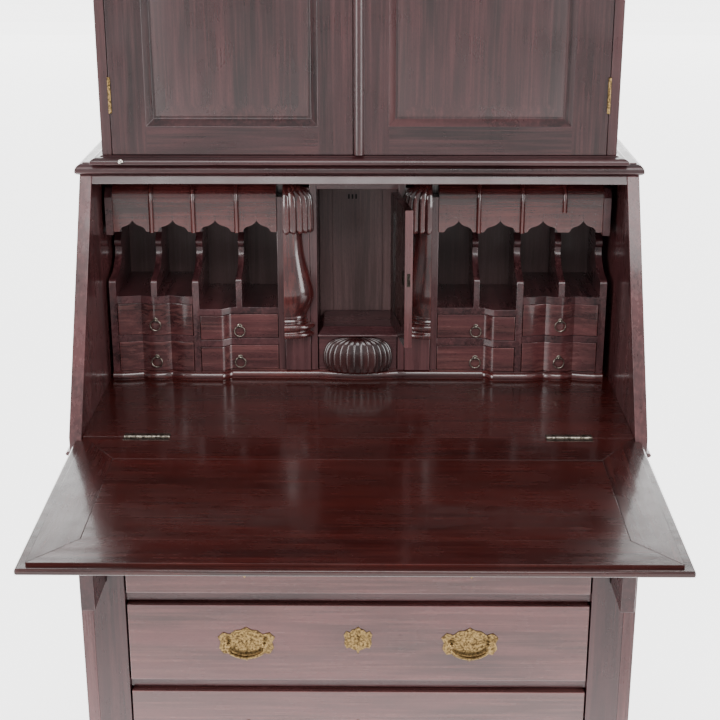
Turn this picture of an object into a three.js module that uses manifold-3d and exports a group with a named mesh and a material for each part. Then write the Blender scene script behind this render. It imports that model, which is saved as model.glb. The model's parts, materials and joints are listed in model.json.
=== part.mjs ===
// Secretary desk: a slant-front bureau with a fitted interior, four long drawers and a bookcase on top.
// Millimetres. X runs to the right, Y from the front to the back, Z up from the floor.
// Inside this file Y = 0 is the front plane of the lower case; the whole group is then centred on its box.
import * as THREE from "three";
import { mergeVertices } from "three/addons/utils/BufferGeometryUtils.js";
import Module from "manifold-3d";

const wasm = await Module();
wasm.setup();

// Lower case
const CASE_WIDTH = 1000;
const CASE_DEPTH = 490;
const WRITING_HEIGHT = 770;
const SLANT_SETBACK = 234;
const SLANT_RISE = 411;
const SIDE = 22;
const BACK = 16;
const TOP_BOARD = 22;
const TOP_OVERHANG = 8;
const PLINTH_HEIGHT = 77;
const PLINTH_OUT = 8;
const PLINTH_BOARD = 17;
const BRACKET_FOOT = 130;
const BRACKET_RISE = 36;
const RAIL_BAND = 17;
const RAIL_DEPTH = 60;
const BEAD_DROP = 31;
const BEAD_OUT = 8;
const BEAD_HALF_HEIGHT = 4.5;

// Lopers and the stiles beside them
const LOPER_SLOT = 27;
const LOPER = 24.5;
const LOPER_HEIGHT = 260;
const LOPER_BACK_GAP = 28;
const LOPER_OUT = 108;
const PARTITION = 20;
const STILE_BEAD = 11.5;
const STILE_DEPTH = 24;
const RUNNER = 18;

// Long drawers, from the top down, with a dust board under each of the first three
const DRAWER_BAYS = [126, 143, 160];
const DUST_BOARD = 18;
const DUST_RECESS = 12;
const DRAWER_GAP = 3;
const DRAWER_FRONT = 20;
const DRAWER_WALL = 12;
const DRAWER_BACK_GAP = 34;
const DRAWER_TRAVEL = 330;
const FALL_OVER_DRAWER = 1.5;

// Fall board
const FALL_THICKNESS = 14.5;
const FALL_TO_STILE = 2.5;
const FALL_SIDE_GAP = 3;
const FALL_SAG = 1.5;
const LIP = 10;
const LIP_OVER = 11.5;
const LIP_REST = 0.35;
const FALL_END_GAP = 1.5;
const LIP_END_GAP = 1.2;

// Interior gallery; heights are above the writing surface
const GALLERY_SHIFT = -3.5;
const GALLERY_BASE = 16;
const BASE_STEP = 9;
const BASE_OUT = 8;
const OUTER_FRONT = 298;
const INNER_FRONT = 312;
const SERPENTINE = 8;
const CENTRE_BOW = 7;
const UPRIGHT = 13;
const GALLERY_GAP = 10;
const INNER_BANK = 148;
const COLUMN_BAY = 49;
const PROSPECT_HALF = 76;
const STEP_FROM = 237;
const STEP_TO = 262;
const OUTER_RAIL = [75, 87.5];
const OUTER_SHELF = [150.5, 165];
const INNER_RAIL = [65, 79];
const INNER_SHELF = [127, 140];
const DIVIDER = 11.5;
const NOSE_HEIGHT = 197;
const NOSE_RADIUS = 8;
const VALANCE_FRONT = 310;
const VALANCE_THICKNESS = 14;
const VALANCE_BOTTOM = 287.5;
const VALANCE_APEX = 309.5;
const VALANCE_SHOULDER = 348;
const VALANCE_ROUND = 34;
const RIB_OUT = 5;
const RIB_HALF = 5;
const SHORT_RIB_BOTTOM = 326;
const BLOCK_FRONT = 303;
const BLOCK_BOTTOM = 283;
const BLOCK_TOP = 354;
const SMALL_FRONT = 20;
const SMALL_WALL = 5;
const SMALL_BACK_GAP = 12;
const STUD_RADIUS = 3.2;
const STUD_HOLE = 1.75;
const RING_RADIUS = 10;
const RING_WIRE = 1.1;

// Prospect, shell drawer and document columns
const JAMB_FRONT = 308;
const PROSPECT_FLOOR = [84, 100];
const PROSPECT_BEHIND = 50;
const PROSPECT_PANEL = 12;
const DOOR_WIDTH = 150;
const DOOR_Z = [115, 367];
const DOOR_THICKNESS = 14;
const DOOR_OPEN = 99;
const DOOR_HINGE_X = 75.4;
const SHELL_HALF = 67;
const SHELL_OUT = 27;
const SHELL_TOP = 83;
const COLUMN_TOP = 372;
const COLUMN_BOX_TOP = 200;
const COLUMN_DEPTH_RATIO = 0.59;

// Bookcase
const BOOKCASE_INSET = 42.5;
const BOOKCASE_FRONT = 233;
const BOOKCASE_SIDE = 18;
const BOOKCASE_BACK = 8;
const BOOKCASE_MOULDING = 14;
const BOOKCASE_MOULDING_OUT = 20;
const BOOKCASE_HEIGHT = 808;
const CORNICE_HEIGHT = 75;
const CORNICE_OUT = 45;
const BOOK_SHELF = 16;
const BOOK_DOOR = 20;
const BOOK_STILE = 62;
const BOOK_RAIL = 50;
const ASTRAGAL = 19;
const DOOR_GAP = 1.2;

// Clearances
const SLIDE_GAP = 0.6;
const CLEAR = 0.4;

// Places that follow from the sizes above
const HALF = CASE_WIDTH / 2;
const INSIDE = HALF - SIDE;
const BACK_FACE = CASE_DEPTH - BACK;
const SLANT_TOP = WRITING_HEIGHT + SLANT_RISE;
const SLANT_LENGTH = Math.hypot(SLANT_SETBACK, SLANT_RISE);
const ALONG_Y = SLANT_SETBACK / SLANT_LENGTH;
const ALONG_Z = SLANT_RISE / SLANT_LENGTH;
const OUTER_BANK =
  INSIDE - GALLERY_GAP - 4 * UPRIGHT - COLUMN_BAY - INNER_BANK - PROSPECT_HALF;
const PROSPECT_BACK = BACK_FACE - PROSPECT_BEHIND;
const DRAWER_DEPTH = BACK_FACE - DRAWER_BACK_GAP;
const LOPER_LENGTH = BACK_FACE - LOPER_BACK_GAP;
const BOOKCASE_WIDTH = CASE_WIDTH - 2 * BOOKCASE_INSET;
const DESK_TOP = SLANT_TOP + TOP_BOARD;
const WRITING_BOARD = FALL_THICKNESS + FALL_TO_STILE;
const BOARD_UNDERSIDE = WRITING_HEIGHT - WRITING_BOARD;
const PARTITION_OUTER = INSIDE - LOPER_SLOT;
const PARTITION_INNER = PARTITION_OUTER - PARTITION;
const OPENING_HALF = PARTITION_INNER - STILE_BEAD;
const STEP_DOWN = FALL_THICKNESS - LIP;
const AXIS_BACK = (STEP_DOWN - LIP_REST) / ALONG_Z;
const SAG = THREE.MathUtils.degToRad(FALL_SAG);
const DRAWER_HEAD =
  WRITING_HEIGHT - FALL_THICKNESS - (DRAWER_TRAVEL + AXIS_BACK) * Math.sin(SAG) - FALL_OVER_DRAWER;
const TOP_RAIL_FOOT = DRAWER_HEAD + DRAWER_GAP;
const LOPER_TOP =
  WRITING_HEIGHT - FALL_THICKNESS * Math.cos(SAG) - (LOPER_OUT + AXIS_BACK) * Math.sin(SAG) - CLEAR;

const wood = (name, color, roughness) =>
  new THREE.MeshStandardMaterial({ name, color, roughness, metalness: 0 });
const CASE_WOOD = wood("case mahogany", "#3f2523", 0.32);
const FALL_WOOD = wood("writing surface mahogany", "#43211c", 0.25);
const FRONT_WOOD = wood("drawer front mahogany", "#4b2420", 0.28);
const INSIDE_WOOD = wood("interior mahogany", "#2e2423", 0.45);
const STEEL = new THREE.MeshStandardMaterial({
  name: "nickelled ring", color: "#b9b2aa", roughness: 0.3, metalness: 1,
});

const desk = new THREE.Group();
desk.name = "secretary_desk";

// A three.js geometry as a manifold solid, and back.
function solid(geometry) {
  const bare = geometry.clone();
  for (const name of Object.keys(bare.attributes)) {
    if (name !== "position") bare.deleteAttribute(name);
  }
  const merged = mergeVertices(bare, 1e-4);
  return new wasm.Manifold(new wasm.Mesh({
    numProp: 3,
    vertProperties: merged.attributes.position.array,
    triVerts: new Uint32Array(merged.index.array),
  }));
}

function geometryOf(body) {
  const mesh = body.getMesh();
  const geometry = new THREE.BufferGeometry();
  geometry.setAttribute("position", new THREE.BufferAttribute(mesh.vertProperties, 3));
  geometry.setIndex(new THREE.BufferAttribute(mesh.triVerts, 1));
  return geometry;
}

function add(name, body, material, parent = desk) {
  const mesh = new THREE.Mesh(geometryOf(body), material);
  mesh.name = name;
  parent.add(mesh);
  return mesh;
}

// A right-hand piece and its mirror image on the left.
function addPair(name, body, material, parent = desk) {
  add(name + "_right", body, material, parent);
  add(name + "_left", body, material, parent).scale.x = -1;
}

function box([x0, x1], [y0, y1], [z0, z1]) {
  const geometry = new THREE.BoxGeometry(x1 - x0, y1 - y0, z1 - z0);
  geometry.translate((x0 + x1) / 2, (y0 + y1) / 2, (z0 + z1) / 2);
  return solid(geometry);
}

// A closed outline pushed along one axis: the outline is in (Y, Z), (X, Z) or (X, Y).
function extrude(outline, [from, to], axes, place) {
  const shape = new THREE.Shape(outline.map(([a, b]) => new THREE.Vector2(a, b)));
  const geometry = new THREE.ExtrudeGeometry(shape, { depth: to - from, bevelEnabled: false });
  geometry.applyMatrix4(new THREE.Matrix4().makeBasis(...axes));
  geometry.translate(...place);
  return solid(geometry);
}

const [EX, EY, EZ] = [[1, 0, 0], [0, 1, 0], [0, 0, 1]].map((v) => new THREE.Vector3(...v));
const alongX = (outline, range) => extrude(outline, range, [EY, EZ, EX], [range[0], 0, 0]);
const alongY = (outline, range) =>
  extrude(outline, range, [EX, EZ, EY.clone().negate()], [0, range[1], 0]);
const alongZ = (outline, range) => extrude(outline, range, [EX, EY, EZ], [0, 0, range[0]]);

// Points of an arc about (a, b), angles in degrees.
function arc(a, b, radiusA, radiusB, from, to, steps) {
  return Array.from({ length: steps + 1 }, (_, i) => {
    const angle = THREE.MathUtils.degToRad(from + ((to - from) * i) / steps);
    return [a + radiusA * Math.cos(angle), b + radiusB * Math.sin(angle)];
  });
}

const union = (first, ...others) => others.reduce((sum, other) => sum.add(other), first);
const above = (height) => WRITING_HEIGHT + height;
const raise = (range) => range.map(above);

// A board whose front and side edges carry one moulding, mitred at the corners. The moulding is a list
// of [inset from the widest line, height], from the bottom up.
function mouldedBoard(half, front, back, bottom, moulding) {
  const [lowest, highest] = [moulding[0], moulding[moulding.length - 1]];
  const across = alongX(
    [
      ...moulding.map(([inset, height]) => [front + inset, bottom + height]),
      [back, bottom + highest[1]],
      [back, bottom + lowest[1]],
    ],
    [-half, half],
  );
  const right = moulding.map(([inset, height]) => [half - inset, bottom + height]);
  const left = right.map(([x, z]) => [-x, z]).reverse();
  return across.intersect(alongY([...right, ...left], [front - 1, back + 1]));
}

// Case sides: sloped above the writing height, with a half-round waist bead outside.
const sideOutline = [
  [0, PLINTH_HEIGHT],
  [CASE_DEPTH, PLINTH_HEIGHT],
  [CASE_DEPTH, SLANT_TOP],
  [SLANT_SETBACK, SLANT_TOP],
  [0, WRITING_HEIGHT],
];
const beadOutline = [
  [HALF - 1, above(-BEAD_DROP - BEAD_HALF_HEIGHT)],
  ...arc(HALF, above(-BEAD_DROP), BEAD_OUT, BEAD_HALF_HEIGHT, -90, 90, 8),
  [HALF - 1, above(-BEAD_DROP + BEAD_HALF_HEIGHT)],
];
addPair(
  "case_side",
  union(alongX(sideOutline, [INSIDE, HALF]), alongY(beadOutline, [0, CASE_DEPTH])),
  CASE_WOOD,
);
add("case_back", box([-INSIDE, INSIDE], [BACK_FACE, CASE_DEPTH], [PLINTH_HEIGHT, SLANT_TOP]), CASE_WOOD);

// Plinth: a moulded frame with the case's bottom board on top and bracket feet cut out below.
function bracketCut(half) {
  return [
    [-half, -1],
    [-half, BRACKET_RISE * 0.3],
    ...arc(-half + BRACKET_RISE, BRACKET_RISE * 0.3, BRACKET_RISE, BRACKET_RISE * 0.7, 180, 90, 5),
    ...arc(half - BRACKET_RISE, BRACKET_RISE * 0.3, BRACKET_RISE, BRACKET_RISE * 0.7, 90, 0, 5),
    [half, -1],
  ];
}
const plinthHalf = HALF + PLINTH_OUT;
const plinthMoulding = [
  [0, 0],
  [0, PLINTH_HEIGHT - 14],
  ...arc(PLINTH_OUT, PLINTH_HEIGHT - 14, PLINTH_OUT, 12, 180, 90, 4),
  [PLINTH_OUT, PLINTH_HEIGHT],
];
const plinthMiddle = (CASE_DEPTH - PLINTH_OUT) / 2;
const sideCut = bracketCut(CASE_DEPTH / 2 - BRACKET_FOOT).map(([y, z]) => [y + plinthMiddle, z]);
add(
  "case_base",
  mouldedBoard(plinthHalf, -PLINTH_OUT, CASE_DEPTH, 0, plinthMoulding)
    .subtract(box([-INSIDE, INSIDE], [SIDE, BACK_FACE], [-1, PLINTH_HEIGHT - PLINTH_BOARD]))
    .subtract(alongY(bracketCut(HALF - BRACKET_FOOT), [-PLINTH_OUT - 1, CASE_DEPTH + 1]))
    .subtract(alongX(sideCut, [-plinthHalf - 1, plinthHalf + 1])),
  CASE_WOOD,
);

// Desk top board with an ovolo edge, and the sloped rail under it.
add(
  "desk_top",
  mouldedBoard(HALF + TOP_OVERHANG, SLANT_SETBACK - TOP_OVERHANG, CASE_DEPTH, SLANT_TOP, [
    [TOP_OVERHANG, 0],
    [3, 2],
    [0, 5],
    ...arc(13, 7, 13, 13, 180, 90, 6),
    [13, TOP_BOARD],
  ]),
  CASE_WOOD,
);
const railFoot = [SLANT_SETBACK - RAIL_BAND * ALONG_Y, SLANT_TOP - RAIL_BAND * ALONG_Z];
add(
  "slant_rail",
  alongX(
    [
      railFoot,
      [railFoot[0] + RAIL_DEPTH, railFoot[1]],
      [railFoot[0] + RAIL_DEPTH, SLANT_TOP],
      [SLANT_SETBACK, SLANT_TOP],
    ],
    [-INSIDE, INSIDE],
  ),
  CASE_WOOD,
);
add(
  "writing_board",
  union(
    box([-INSIDE, INSIDE], [AXIS_BACK + CLEAR, BACK_FACE], [BOARD_UNDERSIDE, WRITING_HEIGHT]),
    box([-OPENING_HALF, OPENING_HALF], [DUST_RECESS, STILE_DEPTH], [TOP_RAIL_FOOT, BOARD_UNDERSIDE + 1]),
  ),
  FALL_WOOD,
);

// Loper stiles: a partition, a beaded stile beside the drawers, and the runner the loper slides on.
const slotBottom = LOPER_TOP - LOPER_HEIGHT - SLIDE_GAP;
const partitionHeight = [PLINTH_HEIGHT, BOARD_UNDERSIDE];
addPair(
  "loper_stile",
  union(
    box([PARTITION_INNER, PARTITION_OUTER], [0, BACK_FACE], partitionHeight),
    box([OPENING_HALF, PARTITION_INNER], [0, STILE_DEPTH], partitionHeight),
    box([PARTITION_OUTER, INSIDE], [0, STILE_DEPTH], [PLINTH_HEIGHT, slotBottom]),
    box([PARTITION_OUTER, INSIDE], [0, BACK_FACE], [slotBottom - RUNNER, slotBottom]),
  ),
  CASE_WOOD,
);

// Lopers, pulled out to carry the open fall.
const loperX = PARTITION_OUTER + CLEAR;
addPair(
  "loper",
  box(
    [loperX, loperX + LOPER],
    [-LOPER_OUT, LOPER_LENGTH - LOPER_OUT],
    [slotBottom + SLIDE_GAP, LOPER_TOP],
  ),
  CASE_WOOD,
);

// Dust boards and long drawers.
const dustOutline = [
  [-OPENING_HALF, DUST_RECESS],
  [OPENING_HALF, DUST_RECESS],
  [OPENING_HALF, STILE_DEPTH],
  [PARTITION_INNER, STILE_DEPTH],
  [PARTITION_INNER, BACK_FACE],
  [-PARTITION_INNER, BACK_FACE],
  [-PARTITION_INNER, STILE_DEPTH],
  [-OPENING_HALF, STILE_DEPTH],
];

function longDrawer(floor, ceiling) {
  const half = OPENING_HALF - DRAWER_GAP;
  const bottom = floor + SLIDE_GAP;
  const top = ceiling - DRAWER_GAP;
  const inner = half - DRAWER_WALL;
  return union(
    box([-half, half], [0, DRAWER_FRONT], [floor + DRAWER_GAP, top]),
    box([-half, half], [DRAWER_FRONT - 1, DRAWER_DEPTH], [bottom, top - DRAWER_WALL]),
  ).subtract(
    box([-inner, inner], [DRAWER_FRONT, DRAWER_DEPTH - DRAWER_WALL], [bottom + DRAWER_WALL, ceiling]),
  );
}

let ceiling = BOARD_UNDERSIDE;
DRAWER_BAYS.forEach((height, i) => {
  const floor = ceiling - height;
  add("long_drawer_" + (i + 1), longDrawer(floor, i ? ceiling : TOP_RAIL_FOOT), FRONT_WOOD);
  add("dust_board_" + (i + 1), alongZ(dustOutline, [floor - DUST_BOARD, floor]), INSIDE_WOOD);
  ceiling = floor - DUST_BOARD;
});
add("long_drawer_" + (DRAWER_BAYS.length + 1), longDrawer(PLINTH_HEIGHT, ceiling), FRONT_WOOD);

// Fall board, open: a thick field that drops between the case sides and a thinner lip that laps them.
// It hangs a little below level, because the lopers have play.
const slantAtAxis = AXIS_BACK * ALONG_Y;
const fieldEnd = SLANT_LENGTH - RAIL_BAND - slantAtAxis - FALL_END_GAP;
const lipEnd = SLANT_LENGTH - TOP_OVERHANG * ALONG_Y - slantAtAxis - LIP_END_GAP;
const fallHinge = new THREE.Group();
fallHinge.position.set(0, AXIS_BACK, WRITING_HEIGHT);
fallHinge.rotation.x = SAG;
desk.add(fallHinge);
add(
  "fall_board",
  union(
    box(
      [-INSIDE + FALL_SIDE_GAP, INSIDE - FALL_SIDE_GAP],
      [-fieldEnd, -CLEAR],
      [-FALL_THICKNESS, 0],
    ),
    box(
      [-INSIDE - LIP_OVER, INSIDE + LIP_OVER],
      [-lipEnd, -AXIS_BACK - 0.5],
      [-FALL_THICKNESS, -STEP_DOWN],
    ),
  ),
  FALL_WOOD,
  fallHinge,
);

// The gallery is one fitted unit, set a little to the left in the case.
const gallery = new THREE.Group();
gallery.position.x = GALLERY_SHIFT;
desk.add(gallery);

// The gallery's front line, seen from above: a bow at the centre, straight inner banks, a step to the
// outer banks, and a serpentine front with two sharp hollows on each of those.
const uprightInner = [PROSPECT_HALF + UPRIGHT + COLUMN_BAY, PROSPECT_HALF + 2 * UPRIGHT + COLUMN_BAY];
const innerBank = [uprightInner[1], uprightInner[1] + INNER_BANK];
const uprightMiddle = [innerBank[1], innerBank[1] + UPRIGHT];
const outerBank = [uprightMiddle[1], uprightMiddle[1] + OUTER_BANK];
const uprightOuter = [outerBank[1], outerBank[1] + UPRIGHT];
const galleryHalf = uprightOuter[1];
const HOLLOW_AT = 0.31;

function galleryFront(x) {
  const place = Math.abs(x);
  if (place < PROSPECT_HALF) {
    return INNER_FRONT - CENTRE_BOW * Math.cos((place / PROSPECT_HALF) * Math.PI * 0.5);
  }
  if (place < STEP_FROM) return INNER_FRONT;
  if (place < STEP_TO) {
    const t = (place - STEP_FROM) / (STEP_TO - STEP_FROM);
    return INNER_FRONT - ((1 - Math.cos(Math.PI * t)) / 2) * (INNER_FRONT - OUTER_FRONT);
  }
  if (place < outerBank[0] || place > outerBank[1]) return OUTER_FRONT;
  const across = (place - outerBank[0]) / (outerBank[1] - outerBank[0]);
  const fromMiddle = Math.abs(across - 0.5);
  const hollow = 0.5 - HOLLOW_AT;
  const lobe = fromMiddle < hollow ? fromMiddle / hollow : (0.5 - fromMiddle) / HOLLOW_AT;
  return OUTER_FRONT + SERPENTINE * (1 - Math.cos((Math.PI / 2) * lobe));
}

// Where the front line needs a point, between two places on the same side of the centre.
function frontPoints(from, to, out = 0) {
  const fixed = [PROSPECT_HALF, STEP_FROM, STEP_TO, ...outerBank];
  const [start, end] = outerBank;
  const bank = Array.from({ length: 17 }, (_, i) => start + ((end - start) * i) / 16);
  const hollows = [HOLLOW_AT, 1 - HOLLOW_AT].map((t) => start + (end - start) * t);
  const step = [0.25, 0.5, 0.75].map((t) => STEP_FROM + (STEP_TO - STEP_FROM) * t);
  const bow = Array.from({ length: 6 }, (_, i) => (PROSPECT_HALF * i) / 6);
  const right = [...fixed, ...bank, ...hollows, ...step, ...bow];
  const places = [...right, ...right.map((x) => -x)].filter((x) => x > from && x < to);
  const sorted = [...new Set([from, ...places, to])].sort((a, b) => a - b);
  const spaced = sorted.filter((x, i) => i === 0 || x - sorted[i - 1] > 0.5);
  return spaced.map((x) => [x, galleryFront(x) - out]);
}

const frontedBoard = (from, to, back, heights, out = 0) =>
  alongZ([...frontPoints(from, to, out), [to, back], [from, back]], raise(heights));

// Moulded base of the gallery.
add(
  "gallery_base",
  union(
    frontedBoard(-galleryHalf, galleryHalf, BACK_FACE, [0, BASE_STEP], BASE_OUT),
    frontedBoard(-galleryHalf, galleryHalf, BACK_FACE, [BASE_STEP - 1, GALLERY_BASE], BASE_OUT / 2),
  ),
  CASE_WOOD,
  gallery,
);

// Shaped edge of an upright or divider: a rounded nose, a swan-neck sweep and a bulge below the valance.
const SWEEP_BACK = 385;
const SWEEP_TOP = 240;
const NECK_BACK = 395;
const DIVIDER_TOP = 380;
function shapedEdge(front, foot, crown) {
  const noseBack = front + NOSE_RADIUS;
  return [
    [front, foot],
    ...arc(noseBack, NOSE_HEIGHT - NOSE_RADIUS, NOSE_RADIUS, NOSE_RADIUS, 180, 90, 4),
    ...arc(noseBack, SWEEP_TOP, SWEEP_BACK - noseBack, SWEEP_TOP - NOSE_HEIGHT, -75, 0, 6),
    ...arc(SWEEP_BACK, SWEEP_TOP + 9, NOSE_RADIUS, NOSE_RADIUS, 230, 110, 5),
    [NECK_BACK, SWEEP_TOP + 26],
    ...crown,
    [BACK_FACE, DIVIDER_TOP],
    [BACK_FACE, foot],
  ].map(([y, z]) => [y, above(z)]);
}
const valanceBack = VALANCE_FRONT + VALANCE_THICKNESS;
const behindValance = [
  [NECK_BACK, VALANCE_BOTTOM],
  [valanceBack + 1, VALANCE_APEX],
  [valanceBack + 1, VALANCE_SHOULDER],
  [VALANCE_FRONT + VALANCE_ROUND + 1, VALANCE_SHOULDER + VALANCE_ROUND - VALANCE_THICKNESS - 1],
  [VALANCE_FRONT + VALANCE_ROUND + 1, DIVIDER_TOP],
];
const endBlock = [
  [NECK_BACK, BLOCK_BOTTOM],
  [BLOCK_FRONT, BLOCK_BOTTOM],
  [BLOCK_FRONT, BLOCK_TOP],
  [BLOCK_FRONT + 12, BLOCK_TOP + 16],
  [VALANCE_FRONT + VALANCE_ROUND, DIVIDER_TOP],
];

// Pigeonhole frames: an upright, the pigeonhole shelf, the rail between the drawers and a divider.
function pigeonholeFrame(upright, bank, rail, shelf, crown) {
  const middle = (bank[0] + bank[1]) / 2;
  const [from, to] = [bank[0], bank[1] + (upright[0] === bank[1] ? 1 : 0)];
  return union(
    alongX(shapedEdge(OUTER_FRONT, GALLERY_BASE, crown), upright),
    frontedBoard(from, to, BACK_FACE, rail),
    frontedBoard(from, to, BACK_FACE, shelf),
    alongX(
      shapedEdge(galleryFront(middle), shelf[1] - 1, behindValance),
      [middle - DIVIDER / 2, middle + DIVIDER / 2],
    ),
  );
}
addPair(
  "pigeonhole_frame_outer",
  pigeonholeFrame(uprightOuter, outerBank, OUTER_RAIL, OUTER_SHELF, endBlock),
  INSIDE_WOOD,
  gallery,
);
addPair(
  "pigeonhole_frame_inner",
  pigeonholeFrame(uprightMiddle, innerBank, INNER_RAIL, INNER_SHELF, behindValance),
  INSIDE_WOOD,
  gallery,
);

// Uprights beside the columns, and the prospect's jambs.
const uprightOutline = [
  [INNER_FRONT, GALLERY_BASE],
  [BACK_FACE, GALLERY_BASE],
  [BACK_FACE, DIVIDER_TOP],
  [VALANCE_FRONT + VALANCE_ROUND, DIVIDER_TOP],
  [VALANCE_FRONT + VALANCE_ROUND, BLOCK_TOP],
  [INNER_FRONT, BLOCK_TOP],
].map(([y, z]) => [y, above(z)]);
addPair("column_upright", alongX(uprightOutline, uprightInner), INSIDE_WOOD, gallery);
addPair(
  "prospect_jamb",
  box([PROSPECT_HALF, PROSPECT_HALF + UPRIGHT], [JAMB_FRONT, BACK_FACE], [above(GALLERY_BASE), SLANT_TOP]),
  INSIDE_WOOD,
  gallery,
);

// Valances: a board with a quarter-round top, an ogee arch over each pigeonhole and a rib over each divider.
function valanceSection(out, bottom) {
  const centre = VALANCE_FRONT + VALANCE_ROUND;
  const outer = VALANCE_ROUND + out;
  const inner = VALANCE_ROUND - VALANCE_THICKNESS;
  return [
    [VALANCE_FRONT - out, bottom],
    ...arc(centre, VALANCE_SHOULDER, outer, outer, 180, 90, 6),
    ...arc(centre, VALANCE_SHOULDER, inner, inner, 90, 180, 3),
    [valanceBack, bottom],
  ].map(([y, z]) => [y, above(z)]);
}
function ogeeArch(middle, halfSpan) {
  const rise = VALANCE_APEX - VALANCE_BOTTOM;
  const side = [
    [1, -3],
    [1, 0],
    [0.93, 0.22],
    [0.78, 0.38],
    [0.55, 0.48],
    [0.3, 0.6],
    [0.12, 0.8],
    [0, 1],
  ];
  const right = side.map(([x, z]) => [middle + x * halfSpan, above(VALANCE_BOTTOM + z * rise)]);
  const left = side.slice(0, -1).reverse().map(([x, z]) => [middle - x * halfSpan, above(VALANCE_BOTTOM + z * rise)]);
  return [...right, ...left];
}
function valance(shortRib) {
  const ribs = [(innerBank[0] + innerBank[1]) / 2, (uprightMiddle[0] + uprightMiddle[1]) / 2];
  ribs.push((outerBank[0] + outerBank[1]) / 2);
  const edges = [innerBank[0], ...ribs, outerBank[1]];
  const board = edges.slice(1).reduce((left, edge, i) => {
    const middle = (edges[i] + edge) / 2;
    const halfSpan = (edge - edges[i]) / 2 - 2 * RIB_HALF;
    return left.subtract(alongY(ogeeArch(middle, halfSpan), [VALANCE_FRONT - 20, BACK_FACE]));
  }, alongX(valanceSection(0, VALANCE_BOTTOM), [innerBank[0], outerBank[1]]));
  return ribs.reduce((sum, x, i) => {
    const bottom = shortRib && i === ribs.length - 1 ? SHORT_RIB_BOTTOM : VALANCE_BOTTOM;
    return sum.add(alongX(valanceSection(RIB_OUT, bottom), [x - RIB_HALF, x + RIB_HALF]));
  }, board);
}
add("valance_right", valance(true), CASE_WOOD, gallery);
add("valance_left", valance(false), CASE_WOOD, gallery).scale.x = -1;

// Prospect: floor and back panel in one, with three ventilation slots and two scored lines in the back.
const slotAt = [-20, -14, -8];
const scoreAt = [-49, 49];
const prospectCut = [
  ...slotAt.map((x) => box([x - 1.8, x + 1.8], [PROSPECT_BACK - 1, PROSPECT_BACK + 5], raise([325, 334]))),
  ...scoreAt.map((x) => box([x - 1, x + 1], [PROSPECT_BACK - 1, PROSPECT_BACK + 2], raise([110, 400]))),
];
add(
  "prospect_floor",
  prospectCut.reduce(
    (left, cut) => left.subtract(cut),
    union(
      box([-PROSPECT_HALF, PROSPECT_HALF], [304, PROSPECT_BACK + PROSPECT_PANEL], raise(PROSPECT_FLOOR)),
      box(
        [-PROSPECT_HALF, PROSPECT_HALF],
        [PROSPECT_BACK, PROSPECT_BACK + PROSPECT_PANEL],
        [above(PROSPECT_FLOOR[0]), SLANT_TOP],
      ),
    ),
  ),
  INSIDE_WOOD,
  gallery,
);
add(
  "prospect_header",
  box([-PROSPECT_HALF, PROSPECT_HALF], [JAMB_FRONT, JAMB_FRONT + 14], [above(DOOR_Z[1] + 2), SLANT_TOP]),
  INSIDE_WOOD,
  gallery,
);

// Prospect door, hung on the right jamb and standing open.
const hingeY = JAMB_FRONT - DOOR_THICKNESS + 2.5;
const doorHinge = new THREE.Group();
doorHinge.position.set(DOOR_HINGE_X, hingeY, 0);
doorHinge.rotation.z = THREE.MathUtils.degToRad(DOOR_OPEN);
gallery.add(doorHinge);
const doorPanel = box([-DOOR_WIDTH + 32, -32], [-1, 3], raise([DOOR_Z[0] + 32, DOOR_Z[1] - 32]));
add(
  "prospect_door",
  box([-DOOR_WIDTH, 0], [0, DOOR_THICKNESS], raise(DOOR_Z)).subtract(doorPanel),
  FRONT_WOOD,
  doorHinge,
);

// Shell drawer under the prospect: half of a turned, flattened dome on the front. The dome's profile is
// [share of its half width, height].
const shellProfile = [
  [0, 82.6], [0.45, 81.4], [0.72, 76], [0.89, 67], [0.975, 56], [1, 44], [0.985, 32], [0.94, 21], [0.9, 17],
  [0, 17],
];
function shellFront() {
  const points = shellProfile.map(([share, z]) => new THREE.Vector2(share * SHELL_HALF, z)).reverse();
  const geometry = new THREE.LatheGeometry(points, 36);
  geometry.rotateX(Math.PI / 2);
  geometry.scale(1, SHELL_OUT / SHELL_HALF, 1);
  geometry.translate(0, INNER_FRONT, WRITING_HEIGHT);
  const room = box([-SHELL_HALF, SHELL_HALF], [INNER_FRONT - SHELL_OUT - 1, INNER_FRONT + 2],
    raise([GALLERY_BASE + SLIDE_GAP, SHELL_TOP]));
  return solid(geometry).intersect(room);
}
function smallTray([x0, x1], front, [z0, z1]) {
  const outer = box([x0, x1], [front, BACK_FACE - SMALL_BACK_GAP], raise([z0, z1 - 5]));
  const inner = box([x0 + SMALL_WALL, x1 - SMALL_WALL],
    [front + 1, BACK_FACE - SMALL_BACK_GAP - SMALL_WALL], raise([z0 + SMALL_WALL, z1 + 1]));
  return outer.subtract(inner);
}
const shellHalf = PROSPECT_HALF - 1.5;
const shellZ = [GALLERY_BASE + SLIDE_GAP, SHELL_TOP];
add(
  "shell_drawer",
  union(
    box([-shellHalf, shellHalf], [INNER_FRONT, INNER_FRONT + 12], raise(shellZ)),
    smallTray([-shellHalf, shellHalf], INNER_FRONT + 11, shellZ),
    shellFront(),
  ),
  FRONT_WOOD,
  gallery,
);

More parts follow.
